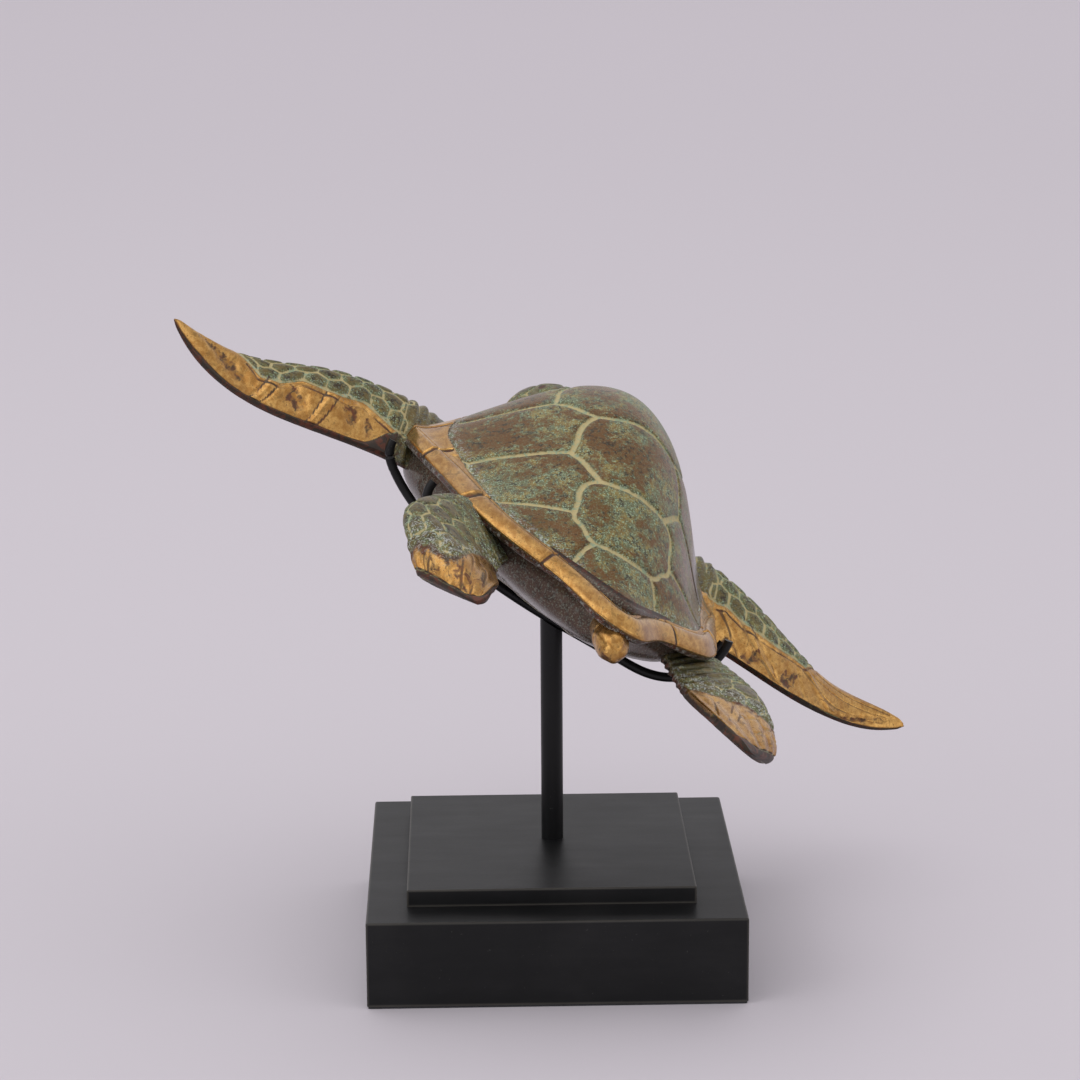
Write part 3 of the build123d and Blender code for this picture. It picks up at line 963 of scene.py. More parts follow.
def shell_lines(foot, outward):
    """Scute seams on the dome and the rim band's seams, to be raised by the same bell rule."""
    lines, marks = [], {"along": [], "across": [], "domed": [], "wall": []}

    def add(points, breadth, dark, domed):
        lines.append((points, breadth, dark))
        here = {**dome_marks(points[:, 0], points[:, 1]), "domed": domed, "wall": 0.0}
        for mark, value in here.items():
            marks[mark].extend(np.broadcast_to(value, len(points)))

    for points, breadth in seams:
        for side in (1, -1):
            line = smooth_line(np.array(points) * (side, 1), 8 * len(points))
            add(np.column_stack([line, rim_level(line[:, 1])]), breadth * seam_spread, 0.0, 1.0)
    back = -table_at(band_on_dome, foot[:, 1])
    flat = foot[:, :2] + outward * back[:, None]
    around = np.column_stack([flat, rim_level(flat[:, 1])])
    add(np.vstack([around, around[:1]]), 0.8, groove_darkness, 1.0)
    share = table_at(band_reach_shares, foot[:, 1])
    profile = smooth_line(band_profile, 40)[4:30]
    for place, breadth in band_seams:
        for side in (1, -1):
            n = int(np.where(foot[:, 0] * side > 0, np.abs(foot[:, 1] - place), np.inf).argmin())
            on_dome = np.linspace(back[n], -0.1, 12)
            out = np.concatenate([on_dome, profile[:, 0] * share[n]])
            flat = foot[n, :2] + outward[n] * out[:, None]
            level = np.where(profile[:, 1] > -1, profile[:, 1] * share[n], profile[:, 1])
            height = rim_level(flat[:, 1])
            height[len(on_dome):] = foot[n, 2] + level
            domed = np.concatenate([np.ones(len(on_dome)), np.zeros(len(profile))])
            add(np.column_stack([flat, height]), breadth, 0.95, domed)
    wires = cut_lines("shell_lines", lines, marks.items())
    run_tree(wires, bell_dome, bell_sizes)
    return wires


upper_shell, shell_foot, shell_outward = carapace_mesh()
scute_lines = shell_lines(shell_foot, shell_outward)
run_tree(upper_shell, bell_dome, bell_sizes)
carve(upper_shell, scute_lines, shell_patina, 0.26, 0.45, 5.0, 0.14, 150.0)
dressed(upper_shell, scute_lines, "shell_brass", "carapace")

# Lower shell

hull_half_width = 70.4
hull_back = -86.0
hull_front = 86.8
hull_floor = -27.2
hull_wall = 2.6
station_shares = (0.1, 0.25, 0.45, 0.65, 0.82, 0.94)
rim_width_shares = (0.188, 0.605, 0.785, 0.967, 1.0, 0.563)
egg_width_shares = (0.43, 0.68, 0.88, 0.985, 0.94, 0.62)
hull_ring_shares = (
    (0.12, 1.0, 1.0, 1.0, 0.25),
    (0.45, 0.985, 0.985, 0.98, 0.3),
    (0.7, 0.95, 0.93, 0.85, 0.45),
    (0.855, 0.88, 0.81, 0.62, 0.7),
    (0.95, 0.7, 0.6, 0.38, 0.9),
    (0.99, 0.5, 0.44, 0.22, 1.0),
    (1.0, 0.3, 0.26, 0.1, 1.0),
)
# Seams of the belly's plates: along the middle, then across from the middle to the right side
belly_seams = (
    ((0.0, 50.0), (0.0, 0.0), (0.0, -50.0)),
    ((0.0, 46.0), (16.0, 50.0), (34.0, 62.0)),
    ((0.0, 24.0), (20.0, 25.0), (48.0, 34.0)),
    ((0.0, -2.0), (18.0, -2.0), (44.0, 2.0)),
    ((0.0, -26.0), (14.0, -28.0), (32.0, -34.0)),
    ((34.0, 58.0), (38.0, 34.0), (35.0, 2.0), (26.0, -32.0)),
)
hull_columns = 320
hull_rows = 56
hull_inner_rows = 14


def hull_grid(inset, lift, rows):
    """Rings of the lower shell from its seam down to its floor."""
    rings = []
    for level, back, front, width, egg in hull_ring_shares:
        low, high = back * hull_back + inset, front * hull_front - inset
        half = width * hull_half_width - inset
        right = [
            (half * (rim + (oval - rim) * egg), low + (high - low) * station)
            for station, rim, oval in zip(station_shares, rim_width_shares, egg_width_shares)
        ]
        points = [(0, low)] + right + [(0, high)] + [(-x, y) for x, y in reversed(right)]
        line = smooth_line(points, hull_columns, closed=True)
        rings.append(np.column_stack([line, np.full(hull_columns, level * hull_floor + lift)]))
    fine = smooth_line(np.array(rings).reshape(len(rings), -1), rows)
    return fine.reshape(rows, hull_columns, 3)


def build_hull():
    """Lower shell with the seams of its belly plates."""
    outer = hull_grid(0, 0, hull_rows)
    inner = hull_grid(hull_wall, hull_wall, hull_inner_rows)
    grid = np.concatenate([inner[::-1], outer])
    inside = np.zeros(grid.shape[:2])
    inside[:hull_inner_rows] = 1
    brow = smoothstep(30.0, 70.0, grid[..., 1]) * 0.3
    outside = 1 - inside
    # The inside of the hull is fully darkened: painted shade inside the shell
    marks = marks_like(
        grid.shape[:2], grime=inside, mauve=0.75 - brow, hold=outside, swell=outside, chalk=0.12 * outside
    )
    hull = sleeve("lower_shell", grid, marks)
    belly = outer[hull_rows // 3:].reshape(-1, 3)
    lines = []
    for points in belly_seams:
        for side in (1, -1):
            flat = smooth_line(np.array(points) * (side, 1), 10 * len(points))
            near = [np.hypot(belly[:, 0] - x, belly[:, 1] - y).argmin() for x, y in flat]
            lines.append((np.column_stack([flat, belly[near, 2]]), 1.4, 0.3))
    wires = cut_lines("belly_lines", lines)
    carve(hull, wires, hull_patina, 0.3, 0.3, 4.0, 0.25, 60.0, 2.0)
    dressed(hull, wires, "hull_brass", "plastron")


build_hull()

# Flippers

# Rings from root to end: leading edge point, trailing edge point, thickness, with X to their own side
front_rings_left = (
    ((30.0, 72.0, 1.0), (30.0, 46.0, -8.0), 13.0),
    ((56.0, 78.0, 8.0), (56.0, 43.0, -9.0), 15.0),
    ((85.0, 73.0, 9.5), (85.0, 38.5, -11.0), 13.0),
    ((115.0, 66.5, 4.5), (115.0, 35.5, -16.0), 10.5),
    ((148.0, 61.5, -7.5), (148.0, 41.0, -20.0), 7.0),
    ((173.0, 55.0, -8.5), (172.0, 47.5, -15.0), 4.2),
    ((183.0, 50.5, -7.5), (183.0, 49.0, -9.0), 1.6),
)
front_rings_right = (
    ((30.0, 72.0, 4.0), (30.0, 46.0, -7.0), 13.0),
    ((56.0, 78.0, 15.5), (56.0, 43.0, -8.0), 15.0),
    ((85.0, 73.0, 17.0), (85.0, 38.5, -6.5), 13.0),
    ((115.0, 66.5, 10.0), (115.0, 35.5, -7.0), 10.5),
    ((148.0, 61.5, 3.5), (148.0, 41.0, -6.0), 7.0),
    ((173.0, 56.0, 7.0), (172.0, 47.5, -0.5), 4.2),
    ((181.5, 51.0, 8.0), (182.5, 49.0, 5.5), 1.6),
)
rear_rings_left = (
    ((46.0, -6.0, -9.0), (28.0, -30.0, -14.0), 11.0),
    ((60.5, -20.0, -8.5), (37.0, -43.5, -15.0), 12.5),
    ((78.0, -47.0, -10.5), (45.5, -67.5, -21.0), 13.5),
    ((88.5, -68.0, -17.5), (49.0, -92.0, -22.5), 12.0),
    ((86.0, -85.0, -24.5), (55.5, -111.5, -23.0), 9.5),
    ((82.0, -92.5, -30.5), (58.5, -120.0, -26.5), 7.5),
    ((78.5, -97.0, -33.0), (61.0, -122.5, -28.5), 4.5),
)
rear_rings_right = (
    ((46.0, -6.0, -9.0), (28.0, -30.0, -14.0), 11.0),
    ((63.5, -20.5, -12.0), (35.5, -43.0, -14.5), 12.5),
    ((80.0, -46.5, -13.0), (44.5, -67.5, -21.0), 13.5),
    ((84.0, -67.0, -18.0), (48.5, -92.5, -22.0), 12.0),
    ((83.5, -84.0, -23.0), (52.5, -113.0, -22.5), 9.5),
    ((82.0, -90.5, -25.0), (56.0, -119.5, -23.0), 7.0),
    ((79.0, -94.5, -26.5), (59.5, -121.5, -24.0), 4.0),
)
# Thickness of the trailing edges
front_edge = 2.6
rear_edge = 3.2
# Runs of the folds at the root of a front flipper
front_fold_runs = (0.255, 0.285, 0.318)


tip_closing = 0.94
front_tip_share = 0.028


def round_tip(table, share):
    """Narrows the rings of the last share of a limb to a round end."""
    part = np.clip((np.linspace(0, 1, len(table)) - 1 + share) / share, 0, 1) * tip_closing
    keep = np.sqrt(1 - part**2)[:, None]
    middle = (table[:, :3] + table[:, 3:6]) / 2
    table[:, :3] = middle + (table[:, :3] - middle) * keep
    table[:, 3:6] = middle + (table[:, 3:6] - middle) * keep
    table[:, 6:] *= keep


def row_at(table, run):
    """Row of a fine table of rings at a run from 0 to 1, and the number of the ring before it."""
    place = np.clip(run, 0, 1) * (len(table) - 1)
    low = np.minimum(place.astype(int), len(table) - 2)
    part = (place - low)[..., None]
    return table[low] * (1 - part) + table[low + 1] * part, low

class Limb:
    """Flipper surface: run goes from root 0 to end 1, turn from the leading edge 0 to the trailing edge 1.
    Under 0 and over 1 the turn goes on round the underside."""

    def __init__(self, rings, side, edge, tip_share=0.0):
        rows = np.array([(*lead, *trail, thick) for lead, trail, thick in rings])
        rows[:, (0, 3)] *= side
        self.table = smooth_line(rows, 400)
        if tip_share:
            round_tip(self.table, tip_share)
        self.side = side
        self.edge = edge

    def at(self, run, turn):
        run, turn = np.broadcast_arrays(np.asarray(run, float), np.asarray(turn, float))
        row, low = row_at(self.table, run)
        after = self.table[np.minimum(low + 3, len(self.table) - 1)]
        before = self.table[np.maximum(low - 3, 0)]
        along = (after[..., :3] + after[..., 3:6] - before[..., :3] - before[..., 3:6]) / 2
        lead, chord = row[..., :3], row[..., 3:6] - row[..., :3]
        up = np.cross(chord, along)
        up *= np.sign(up[..., 2:3])
        up /= np.linalg.norm(up, axis=-1, keepdims=True)
        share, height = self.section(turn, row[..., 6])
        return lead + chord * share[..., None] + up * height[..., None]

    def section(self, turn, thick):
        """Share of the chord and height over it, for a place round the section."""
        edge = np.minimum(self.edge, thick * 0.3)
        wrapped = np.clip(np.where(turn < 0, -turn, np.where(turn > 1, 2 - turn, turn)), 0, 1)
        share = (1 - np.cos(np.pi * wrapped)) / 2
        bulge = 2.0 * (np.sqrt(share) - share) * thick
        over = bulge + edge / 2 * share
        under = -(bulge * 0.85 + edge / 2 * share)
        return share, np.where((turn >= 0) & (turn <= 1), over, under)

    def line(self, points, count=40):
        """Line on the surface through places given as (run, turn)."""
        places = smooth_line(points, count)
        return self.at(places[:, 0], places[:, 1])

    def mesh(self, name, rows, columns, marks_at):
        """Closed skin, with columns over its top and fewer beneath."""
        run = smoothstep(-0.15, 1.12, np.linspace(0, 1, rows))
        run = (run - run[0]) / (run[-1] - run[0])
        over = np.linspace(0, 1, columns)
        beneath = np.linspace(1.0, 2.0, columns // 2 + 1)[1:-1]
        turn = np.concatenate([over, [1.0 + 1e-6], beneath])
        runs, turns = np.meshgrid(run, turn, indexing="ij")
        grid = self.at(runs, turns)
        marks = marks_at(runs, turns)
        if self.side < 0:
            grid = grid[:, ::-1]
            marks = {mark: values[:, ::-1] for mark, values in marks.items()}
        return sleeve(name, grid, marks)


def scale_net(surface, runs, turns, pitch, rows, breadth, spread, seed):
    """Lines between six-sided scales over a patch. turns gives its lowest and highest turn at a run."""
    chance = np.random.default_rng(seed)
    columns = int(round((runs[1] - runs[0]) / pitch * 2))
    knots = {}
    for row in range(rows + 1):
        for column in range(columns + 1):
            shove = chance.uniform(-spread, spread, 2)
            lean = 0.17 if (row + column) % 2 == 0 else -0.17
            run = runs[0] + (column + shove[0]) * pitch / 2
            knots[row, column] = (run, (row + lean + shove[1] * 0.4) / rows)
    pairs = [((row, n), (row, n + 1)) for row in range(rows + 1) for n in range(columns)]
    pairs += [
        ((row, n), (row + 1, n)) for row in range(rows) for n in range(columns + 1) if (row + n) % 2 == 0
    ]
    lines = []
    for one, two in pairs:
        run, share = np.linspace(knots[one], knots[two], 7).T
        low, high = turns(run)
        keep = share <= 1.0
        if keep.sum() > 1:
            turn = low + (high - low) * share
            lines.append((surface(run[keep], turn[keep]), breadth, 0.0))
    return lines


# Where the scales of each front flipper end and the rubbed gold begins, then where the gold ends: run, turn
front_borders = {
    "left": (
        (0.0, 0.75), (0.25, 0.68), (0.318, 0.615), (0.366, 0.56), (0.432, 0.475), (0.486, 0.485),
        (0.53, 0.475), (0.592, 0.43), (0.644, 0.515), (0.698, 0.505), (0.74, 0.34), (0.77, 0.18),
        (0.8, 0.0), (0.83, -0.2), (1.0, -0.3),
    ),
    "right": (
        (0.0, 0.6), (0.25, 0.5), (0.326, 0.53), (0.358, 0.5), (0.414, 0.53), (0.534, 0.48), (0.602, 0.415),
        (0.636, 0.4), (0.66, 0.25), (0.7, 0.06), (0.76, -0.1), (0.8, -0.3), (1.0, -0.3),
    ),
}
front_strips = {
    "left": (
        (0.0, 0.55), (0.31, 0.6), (0.352, 0.69), (0.396, 0.885), (0.448, 0.93), (0.53, 0.905),
        (0.618, 0.91), (0.698, 0.905), (0.774, 0.87), (0.87, 0.76), (0.986, 0.8), (1.0, 0.8),
    ),
    "right": ((0.0, 0.5), (0.3, 0.6), (0.335, 0.85), (0.37, 1.0), (1.0, 1.0)),
}
# Rib grooves: two places on each, then breadth and darkness
front_ribs = {
    "left": (
        (((0.674, 0.48), (0.706, 0.88)), 1.3, 0.9),
        (((0.644, 0.53), (0.677, 0.88)), 1.3, 0.9),
        (((0.528, 0.49), (0.556, 0.89)), 1.3, 0.9),
        (((0.494, 0.51), (0.527, 0.89)), 1.3, 0.9),
        (((0.405, 0.54), (0.43, 0.64), (0.45, 0.85)), 0.8, 0.9),
    ),
    "right": (
        (((0.34, 0.57), (0.39, 0.72), (0.42, 0.9)), 1.8, 0.7),
        (((0.398, 0.505), (0.442, 0.625), (0.49, 0.725), (0.54, 0.9)), 1.6, 0.3),
        (((0.425, 0.48), (0.494, 0.62), (0.534, 0.74), (0.56, 0.88)), 1.4, 0.8),
        (((0.63, 0.47), (0.684, 0.585), (0.722, 0.655), (0.76, 0.72)), 1.4, 0.4),
        (((0.605, 0.5), (0.62, 0.62), (0.64, 0.86)), 1.2, 0.6),
        (((0.68, 0.32), (0.78, 0.36), (0.94, 0.34)), 1.0, 0.6),
        (((0.66, 0.42), (0.78, 0.5), (0.93, 0.5)), 0.9, 0.5),
        (((0.7, 0.7), (0.8, 0.7), (0.92, 0.68)), 0.9, 0.5),
        (((0.72, 0.18), (0.82, 0.2), (0.93, 0.2)), 0.9, 0.6),
    ),
}
# Raised ribs: middle line as two places. Hollows: run, turn, half run, half turn
front_ridges = {
    "left": (((0.659, 0.5), (0.692, 0.88)), ((0.511, 0.5), (0.542, 0.89))),
    "right": (((0.42, 0.5), (0.55, 0.88)), ((0.645, 0.45), (0.73, 0.8)), ((0.35, 0.55), (0.41, 0.9))),
}
front_hollows = {
    "left": (
        (0.595, 0.64, 0.028, 0.13), (0.452, 0.62, 0.022, 0.10), (0.398, 0.68, 0.014, 0.09),
        (0.80, 0.48, 0.07, 0.12),
    ),
    "right": (
        (0.46, 0.78, 0.03, 0.12), (0.585, 0.72, 0.03, 0.16), (0.38, 0.82, 0.02, 0.1), (0.80, 0.82, 0.1, 0.08),
    ),
}
ridge_height = 0.7
hollow_depth = 1.1


def front_marks(side, runs, turns):
    border, strip = table_at(front_borders[side], runs), table_at(front_strips[side], runs)
    upper = (turns >= 0) & (turns <= 1)
    gold = smoothstep(-0.012, 0.02, turns - border) * upper * smoothstep(-0.01, 0.03, strip - turns)
    tip = smoothstep(0.79, 0.84, runs)
    gold = np.maximum(gold, tip * (turns < 0.05)) * (turns <= 1)
    leading = np.where(turns > 1.93, 1, 0) * tip
    # The underside and the top past the gold strip are darkened; on the underside this is painted shade.
    dark = np.where(turns > 1, 1 - smoothstep(1.86, 1.97, turns), smoothstep(-0.02, 0.02, turns - strip))
    root = smoothstep(0.34, 0.27, runs)
    dark = dark * (1 - root * (turns <= 1))
    hollow = np.zeros_like(runs)
    for run, turn, half_run, half_turn in front_hollows[side]:
        slant = (runs - run) * 2.5 + 0.02 * np.sin(runs * 190)
        hollow = np.maximum(hollow, hump(runs, run, half_run * 1.3) * hump(turns + slant, turn, half_turn))
    ridge = np.zeros_like(runs)
    for (run_a, turn_a), (run_b, turn_b) in front_ridges[side]:
        middle = run_a + (run_b - run_a) * (turns - turn_a) / (turn_b - turn_a)
        inside = smoothstep(turn_a - 0.05, turn_a, turns) * smoothstep(turn_b + 0.05, turn_b, turns)
        ridge = np.maximum(ridge, hump(runs, middle, 0.012) * inside)
    fold = (1 + np.cos(runs * 190 + turns * 3)) / 2 * hump(runs, 0.27, 0.05) * upper
    return marks_like(
        runs.shape,
        rub=np.maximum(gold, leading) * (0.95 - 0.25 * hollow),
        bare=np.maximum(np.maximum(gold, dark), hump(runs, 0.27, 0.06) * 0.7 * upper),
        grime=np.maximum(dark * 0.9, smoothstep(0.0, 0.8, hollow) * 0.56 * gold),
        mauve=dark * 0.6,
        swell=np.where(turns > 1, 0.2, 1.0) * (1 - gold) * (1 - root * 0.7),
        lift=ridge * ridge_height * gold - hollow * hollow_depth * gold + fold * 1.2,
        chalk=root * 0.12 + hump(turns - border, 0.0, 0.05) * 0.12,
        hold=1.0,
    )


def build_front(side, rings, seed):
    way = -1 if side == "left" else 1
    limb = Limb(rings, way, front_edge, front_tip_share)
    node = "front_flipper_" + side
    piece = limb.mesh(node + "_cast", 260, 130, lambda runs, turns: front_marks(side, runs, turns))
    border = front_borders[side]
    lines = scale_net(
        limb.at, (0.3, 0.80), lambda run: (-0.2, table_at(border, run)), 0.058, 5, 1.5, 0.13, seed
    )
    run = np.linspace(0.3, 0.79, 120)
    lines.append((limb.at(run, table_at(border, run)), 1.5, 0.0))
    run = np.linspace(0.33, 0.74, 120)
    lines.append((limb.at(run, table_at(border, run) + 0.05), 1.5, 0.9))
    run = np.linspace(0.36, 0.99, 120)
    lines.append((limb.at(run, table_at(front_strips[side], run)), 1.0, 0.9))
    for points, breadth, dark in front_ribs[side]:
        lines.append((limb.line(points), breadth, dark))
    for place in front_fold_runs:
        bend = ((place - 0.03, -0.4), (place - 0.01, 0.1), (place, 0.6), (place - 0.02, 1.0))
        lines.append((limb.line(bend), 1.1, 0.1))
    wires = cut_lines(node + "_lines", lines)
    carve(piece, wires, limb_patina, 0.3, 0.6, 3.0, 0.15, 220.0, seed)
    dressed(piece, wires, "limb_brass", node)


build_front("right", front_rings_right, 3)
build_front("left", front_rings_left, 4)

# Where the scales of each rear flipper end and the rubbed gold begins, then where it ends: turn, run
rear_borders = {
    "left": (
        (0.0, 0.9), (0.175, 0.856), (0.305, 0.836), (0.485, 0.832), (0.555, 0.784), (0.6, 0.646),
        (0.695, 0.48), (0.8, 0.42), (1.0, 0.4),
    ),
    "right": (
        (0.0, 0.8), (0.2, 0.72), (0.365, 0.662), (0.47, 0.602), (0.61, 0.54), (0.73, 0.482), (1.0, 0.43),
    ),
}
rear_strips = {
    "left": ((0.0, 0.97), (0.5, 0.985), (0.75, 0.975), (0.9, 0.9), (1.0, 0.72)),
    "right": ((0.0, 0.93), (0.255, 0.942), (0.61, 0.95), (0.9, 0.868), (1.0, 0.694)),
}
rear_ribs = {
    "left": (
        ((0.844, 0.31), (0.99, 0.235)),
        ((0.83, 0.36), (0.99, 0.31)),
        ((0.782, 0.565), (0.976, 0.65)),
        ((0.70, 0.61), (0.964, 0.745)),
        ((0.60, 0.655), (0.80, 0.79), (0.94, 0.84)),
    ),
    "right": (
        ((0.598, 0.505), (0.666, 0.555), (0.75, 0.66)),
        ((0.618, 0.59), (0.68, 0.66), (0.75, 0.76)),
        ((0.692, 0.51), (0.8, 0.53), (0.918, 0.53)),
        ((0.678, 0.41), (0.8, 0.38), (0.9, 0.36)),
        ((0.56, 0.7), (0.7, 0.85)),
    ),
}


# Soil on each rear flipper's rubbed gold; the left's higher share adds painted shade that tones down the left
# lamp's reflection there
rear_soil_and_shade = {"left": 0.42, "right": 0.3}

def rear_marks(side, runs, turns):
    on_top = np.clip(turns, 0, 1)
    border, strip = table_at(rear_borders[side], on_top), table_at(rear_strips[side], on_top)
    upper = (turns >= 0) & (turns <= 1)
    gold = smoothstep(-0.012, 0.02, runs - border + 0.01 * np.sin(turns * 40)) * upper
    gold = gold * smoothstep(-0.008, 0.015, strip - runs)
    # The underside and the top past the gold strip are darkened; on the underside this is painted shade.
    below = np.where(upper, smoothstep(0.0, 0.02, runs - strip), 1 - smoothstep(1.8, 1.95, turns))
    root = smoothstep(0.5, 0.3, runs)
    fold = np.cos(runs * 165 + 2.2 * np.sin(turns * 5)) * root * smoothstep(0.04, 0.12, runs)
    ridge = np.cos((turns - 0.31) * 42) * gold * smoothstep(0.0, 0.1, runs - border)
    rough = hump(runs - border, -0.05, 0.08) * upper
    return marks_like(
        runs.shape,
        rub=gold * (0.78 - 0.2 * hump(runs - border, 0.02, 0.03)),
        bare=np.maximum(gold, below),
        grime=np.maximum(below * 0.95, gold * (rear_soil_and_shade[side] + hump(runs - border, 0.0, 0.03) * 0.4)),
        mauve=below * 0.4,
        swell=(1 - gold) * (1 - root) * np.where(upper, 1.0, 0.2),
        lift=fold * 0.5 + ridge * 0.35 + rough * 0.3 * np.sin(turns * 60 + runs * 90),
        chalk=rough * 0.55 + root * upper * 0.12,
        hold=1.0,
    )


def build_rear(side, rings, seed):
    way = -1 if side == "left" else 1
    limb = Limb(rings, way, rear_edge)
    node = "rear_flipper_" + side
    piece = limb.mesh(node + "_cast", 200, 120, lambda runs, turns: rear_marks(side, runs, turns))
    lines = scale_net(
        limb.at, (0.42, 0.80), lambda run: (-0.1 + 0 * run, 0.62 - (run - 0.42) * 0.2),
        0.115, 4, 1.4, 0.16, seed,
    )
    turn = np.linspace(0.0, 0.98, 60)
    lines.append((limb.at(table_at(rear_borders[side], turn), turn), 1.0, 0.6))
    lines.append((limb.at(table_at(rear_strips[side], turn), turn), 1.0, 0.9))
    for points in rear_ribs[side]:
        lines.append((limb.line(points), 1.2, 0.75))
    for count, place in enumerate(np.linspace(0.09, 0.42, 9)):
        bend = 0.012 * math.sin(count * 2.3)
        points = ((place - 0.03, -0.4), (place + bend, 0.1), (place + 0.02 - bend, 0.5), (place + 0.01, 1.0))
        lines.append((limb.line(points), 0.9, 0.15 if count % 2 else 0.4))
    wires = cut_lines(node + "_lines", lines)
    carve(piece, wires, limb_patina, 0.32, 0.5, 2.8, 0.3, 260.0, seed)
    dressed(piece, wires, "limb_brass", node)


build_rear("right", rear_rings_right, 5)
build_rear("left", rear_rings_left, 6)

# Head and neck

# Rings from the neck to the beak: centre, half width, half height and tilt
head_rings = (
    ((-1.0, 70.0, 2.0), 17.0, 9.0, 0.0),
    ((-1.5, 86.0, 7.0), 15.5, 10.5, 20.0),
    ((-1.0, 99.0, 15.5), 13.5, 12.0, 30.0),
    ((-2.0, 110.0, 28.5), 15.0, 14.4, 22.0),
    ((-2.5, 122.0, 36.5), 15.5, 15.8, 8.0),
    ((-5.5, 135.0, 35.5), 15.0, 15.0, 0.0),
    ((-10.0, 147.0, 30.5), 11.5, 10.8, -8.0),
    ((-11.5, 154.5, 27.5), 6.2, 5.6, -10.0),
)
head_table = smooth_line([(*centre, half, high, tilt) for centre, half, high, tilt in head_rings], 300)
eye_run = 0.70
eye_turns = (0.1, 0.4)
eye_half = 0.028
neck_fold_runs = (0.12, 0.19, 0.26, 0.33)


def head_at(run, turn):
    """Surface of neck and head; turn goes round once from the right side over the top."""
    run, turn = np.broadcast_arrays(np.asarray(run, float), np.asarray(turn, float))
    row, _ = row_at(head_table, run)
    tilt = np.radians(row[..., 5])
    x = np.cos(2 * np.pi * turn) * row[..., 3]
    z = np.sin(2 * np.pi * turn) * row[..., 4]
    return np.stack([row[..., 0] + x, row[..., 1] - z * np.sin(tilt), row[..., 2] + z * np.cos(tilt)], -1)


def build_head():
    """Head with eyes, beak and scales over its crown."""
    run, turn = np.meshgrid(np.linspace(0, 1, 190), np.linspace(0, 1, 220, endpoint=False), indexing="ij")
    eye = sum(hump(run, eye_run, eye_half) * hump(turn, place, eye_half * 0.8) for place in eye_turns)
    lid = sum(hump(run, eye_run, eye_half * 2) * hump(turn, place, eye_half * 1.7) for place in eye_turns)
    beak = smoothstep(0.84, 0.9, run)
    neck = smoothstep(0.36, 0.2, run)
    fold = np.cos(run * 120) * neck
    marks = marks_like(
        run.shape,
        rub=np.maximum(beak * 0.7, eye * 0.3),
        bare=beak,
        grime=eye * 0.9,
        lift=lid * 1.3 - eye * 0.4 + fold * 0.5,
        swell=(1 - beak) * (1 - neck) * (1 - lid),
        chalk=neck * 0.2,
    )
    turned = {mark: value[:, ::-1] for mark, value in marks.items()}
    head = sleeve("head_cast", head_at(run, turn)[:, ::-1], turned)
    lines = scale_net(head_at, (0.4, 0.86), lambda run: (0.03, 0.47), 0.115, 5, 1.1, 0.12, 11)
    around = np.linspace(0, 2 * np.pi, 30)
    for place in eye_turns:
        ring = (eye_run + 1.7 * eye_half * np.cos(around), place + 1.25 * eye_half * np.sin(around))
        lines.append((head_at(*ring), 1.0, 0.9))
    for start, end in ((-0.03, -0.02), (0.53, 0.52)):
        lines.append((head_at(np.linspace(0.74, 0.995, 30), np.linspace(start, end, 30)), 1.2, 0.9))
    lines.append((head_at(np.full(60, 0.87), np.linspace(0, 1, 60)), 1.0, 0.6))
    wave = 0.01 * np.sin(np.linspace(0, 12, 60))
    for place in neck_fold_runs:
        lines.append((head_at(place + wave, np.linspace(0, 1, 60)), 1.0, 0.3))
    wires = cut_lines("head_lines", lines)
    carve(head, wires, limb_patina, 0.3, 0.5, 3.0, 0.2, 200.0, 8.0)
    dressed(head, wires, "limb_brass", "head")


build_head()

# Tail

tail_radius = 6.8
tail_root_radius = 6.3
tail_length = 37.0
tail_dome = 12.0
tail_y = -69.0
tail_z = -13.0
tail_slope = math.radians(10.0)
tail_ring = 20.5


def build_tail():
    """Short round tail with a domed end, a groove round it and facets worn on its end."""
    shoulder = tail_length - tail_dome
    turn = np.linspace(0, math.pi / 2, 36)
    length = np.concatenate([np.linspace(0, shoulder, 50)[:-1], shoulder + tail_dome * np.sin(turn)])
    wide = np.concatenate(
        [np.linspace(tail_root_radius, tail_radius, 50)[:-1], tail_radius * np.maximum(np.cos(turn), 0.02)]
    )
    wide = wide + 0.5 * hump(length, tail_ring + 2.5, 1.5) * (wide > 1)
    around = np.linspace(0, 2 * math.pi, 96, endpoint=False)
    rows, columns = np.meshgrid(np.arange(len(length)), around, indexing="ij")
    far, radius = length[rows], wide[rows]
    grid = np.stack(
        [
            radius * np.cos(columns),
            tail_y - far * math.cos(tail_slope) + radius * np.sin(columns) * math.sin(tail_slope),
            tail_z - far * math.sin(tail_slope) + radius * np.sin(columns) * math.cos(tail_slope),
        ],
        -1,
    )
    bulb = smoothstep(tail_ring - 1, tail_ring + 1, far)
    facets = np.cos(columns * 5 + far * 0.35) * bulb * smoothstep(1, 4, radius) * 0.22
    marks = marks_like(
        far.shape,
        rub=0.55 + 0.45 * bulb,
        bare=1.0,
        swell=0.0,
        lift=facets,
        # Darker under the tail's end: painted shade; the shaft's soil is its own
        grime=(1 - bulb) * 0.45 + hump(far, tail_length - 4, 3) * (np.sin(columns) < -0.3) * 0.6,
        mauve=(1 - bulb) * 0.5,
    )
    tail = sleeve("tail_cast", grid, marks)
    ring = grid[int(np.abs(length - tail_ring).argmin())]
    wires = cut_lines("tail_lines", [(np.vstack([ring, ring[:1]]), 1.5, 0.5)])
    carve(tail, wires, limb_patina, 0.35, 0.0, 2.0, 0.5, 130.0, 9.0)
    dressed(tail, wires, "tail_brass", "tail")


build_tail()

# Stand

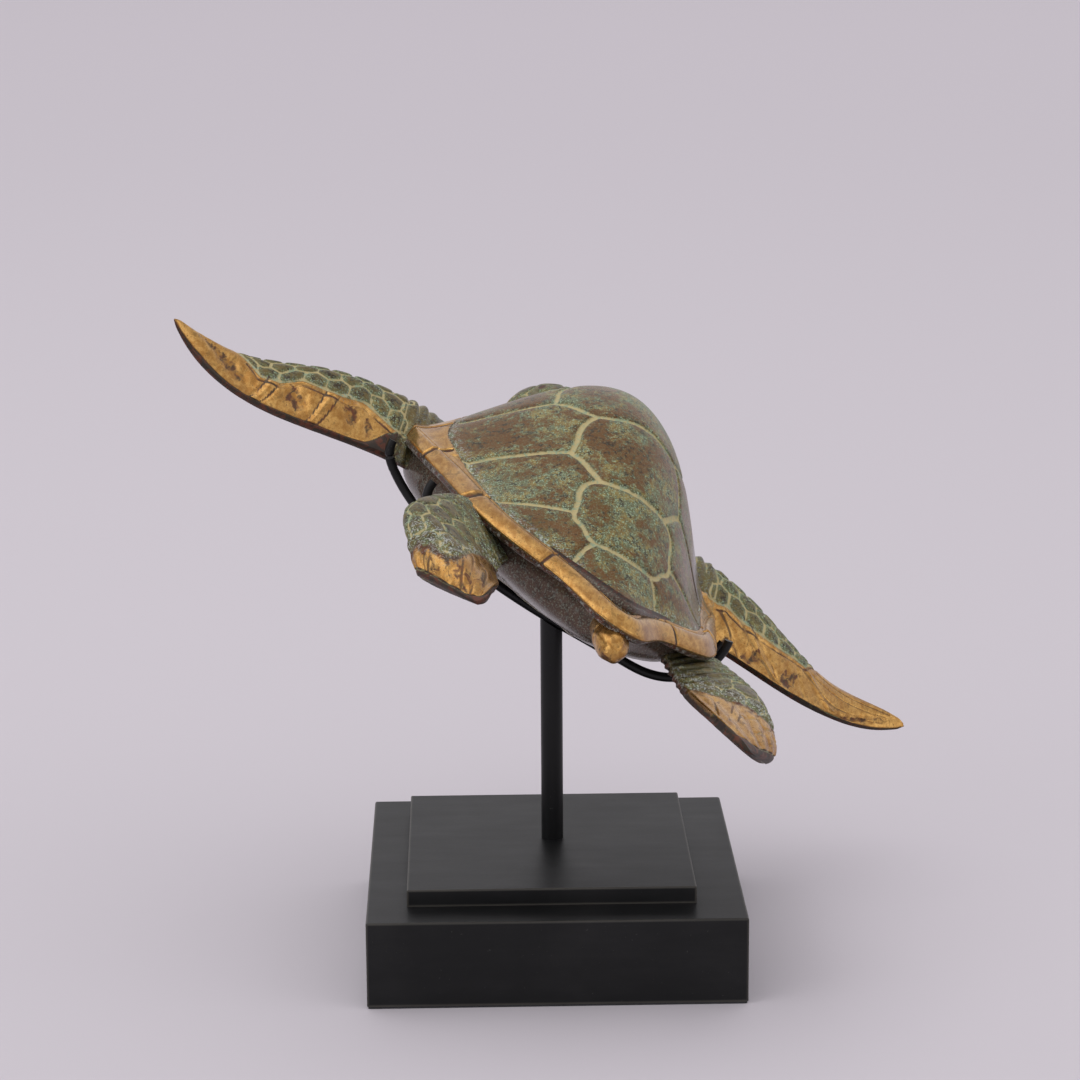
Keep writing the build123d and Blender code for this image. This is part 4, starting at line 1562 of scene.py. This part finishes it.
stand_finishes = {
    "base_felt": base_felt_cloth,
    "base_block": block_paint,
    "plinth_plate": plate_paint,
    "post": rod_paint,
    "post_washer": zinc_plate,
    "post_nut": zinc_plate,
    "cradle_front_rod": rod_paint,
    "cradle_rear_rod": rod_paint,
}
for node, material in stand_finishes.items():
    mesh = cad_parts[node].data
    mesh.materials.clear()
    mesh.materials.append(material)

# Studio


def flat_sheet(name, width, depth, level):
    """Level sheet round the origin."""
    mesh = bpy.data.meshes.new(name)
    x, y = width / 2, depth / 2
    mesh.from_pydata([(-x, -y, level), (x, -y, level), (x, y, level), (-x, y, level)], [], [(0, 1, 2, 3)])
    sheet = bpy.data.objects.new(name, mesh)
    bpy.context.scene.collection.objects.link(sheet)
    return sheet


def paper_material():
    """Pale paper with painted light: its colour grows a little lighter far behind the object."""
    material, bench, leave = new_material("floor_paper")
    place = bench.put("ShaderNodeTexCoord", {}, {}, "Object")
    # Painted light: the paper lightens with distance behind the object
    far = bench.put("ShaderNodeSeparateXYZ", {}, {0: place}, "Y").over(0.3, 4.5)
    colour = blended(bench, far, (0.575, 0.54, 0.578), (0.655, 0.612, 0.657))
    finish_material(bench, leave, {"Roughness": 0.9}, {"Base Color": colour})
    return material


floor = flat_sheet("floor", 24.0, 24.0, 0.0)
floor.data.materials.append(paper_material())


def soft_lamp(name, place, aim, width, height, power):
    """Large lamp that faces a point."""
    lamp = bpy.data.lights.new(name, "AREA")
    lamp.shape = "RECTANGLE"
    lamp.size = width
    lamp.size_y = height
    lamp.energy = power
    holder = bpy.data.objects.new(name, lamp)
    holder.location = place
    holder.rotation_euler = (Vector(aim) - Vector(place)).to_track_quat("-Z", "Y").to_euler()
    bpy.context.scene.collection.objects.link(holder)


# Lamps: place, the point that each faces, width, height and power
lamps = {
    "overhead": ((-0.5, 0.2, 2.6), (0, 0, 0.1), 2.4, 2.4, 17),
    "left_bank": ((-2.4, -1.4, 1.6), (0, 0, 0.15), 1.6, 2.0, 10.5),
    "right_bank": ((2.4, -0.9, 1.4), (0, 0, 0.15), 1.4, 2.0, 5),
}
for name, setting in lamps.items():
    soft_lamp(name, *setting)

world = bpy.data.worlds.new("studio_air")
world.use_nodes = True
world.node_tree.nodes.clear()
air = Bench(world.node_tree)
leave = world.node_tree.nodes.new("ShaderNodeOutputWorld")
sky = air.put("ShaderNodeBackground", {}, {"Color": (0.86, 0.84, 0.87, 1), "Strength": 0.93})
world.node_tree.links.new(sky.socket, leave.inputs["Surface"])
bpy.context.scene.world = world

# Camera

camera = bpy.data.objects.new("camera", bpy.data.cameras.new("camera"))
camera.data.sensor_width = 36.0
camera.data.lens = 107.125
camera.data.clip_end = 60.0
# Radians: downward, to the right, and about the line of sight
pitch, yaw, roll = 0.24322, 0.022529, -0.0063606
ahead = Vector((math.sin(yaw) * math.cos(pitch), math.cos(yaw) * math.cos(pitch), -math.sin(pitch)))
level_right = Vector((math.cos(yaw), -math.sin(yaw), 0))
level_up = level_right.cross(ahead)
right = level_right * math.cos(roll) + level_up * math.sin(roll)
up = -level_right * math.sin(roll) + level_up * math.cos(roll)
place = Vector((-32.571, -1256.071, 482.146)) * MM
camera.matrix_world = Matrix(
    (
        (right.x, up.x, -ahead.x, place.x),
        (right.y, up.y, -ahead.y, place.y),
        (right.z, up.z, -ahead.z, place.z),
        (0, 0, 0, 1),
    )
)
bpy.context.scene.collection.objects.link(camera)
bpy.context.scene.camera = camera
bpy.context.scene.view_settings.view_transform = "Standard"
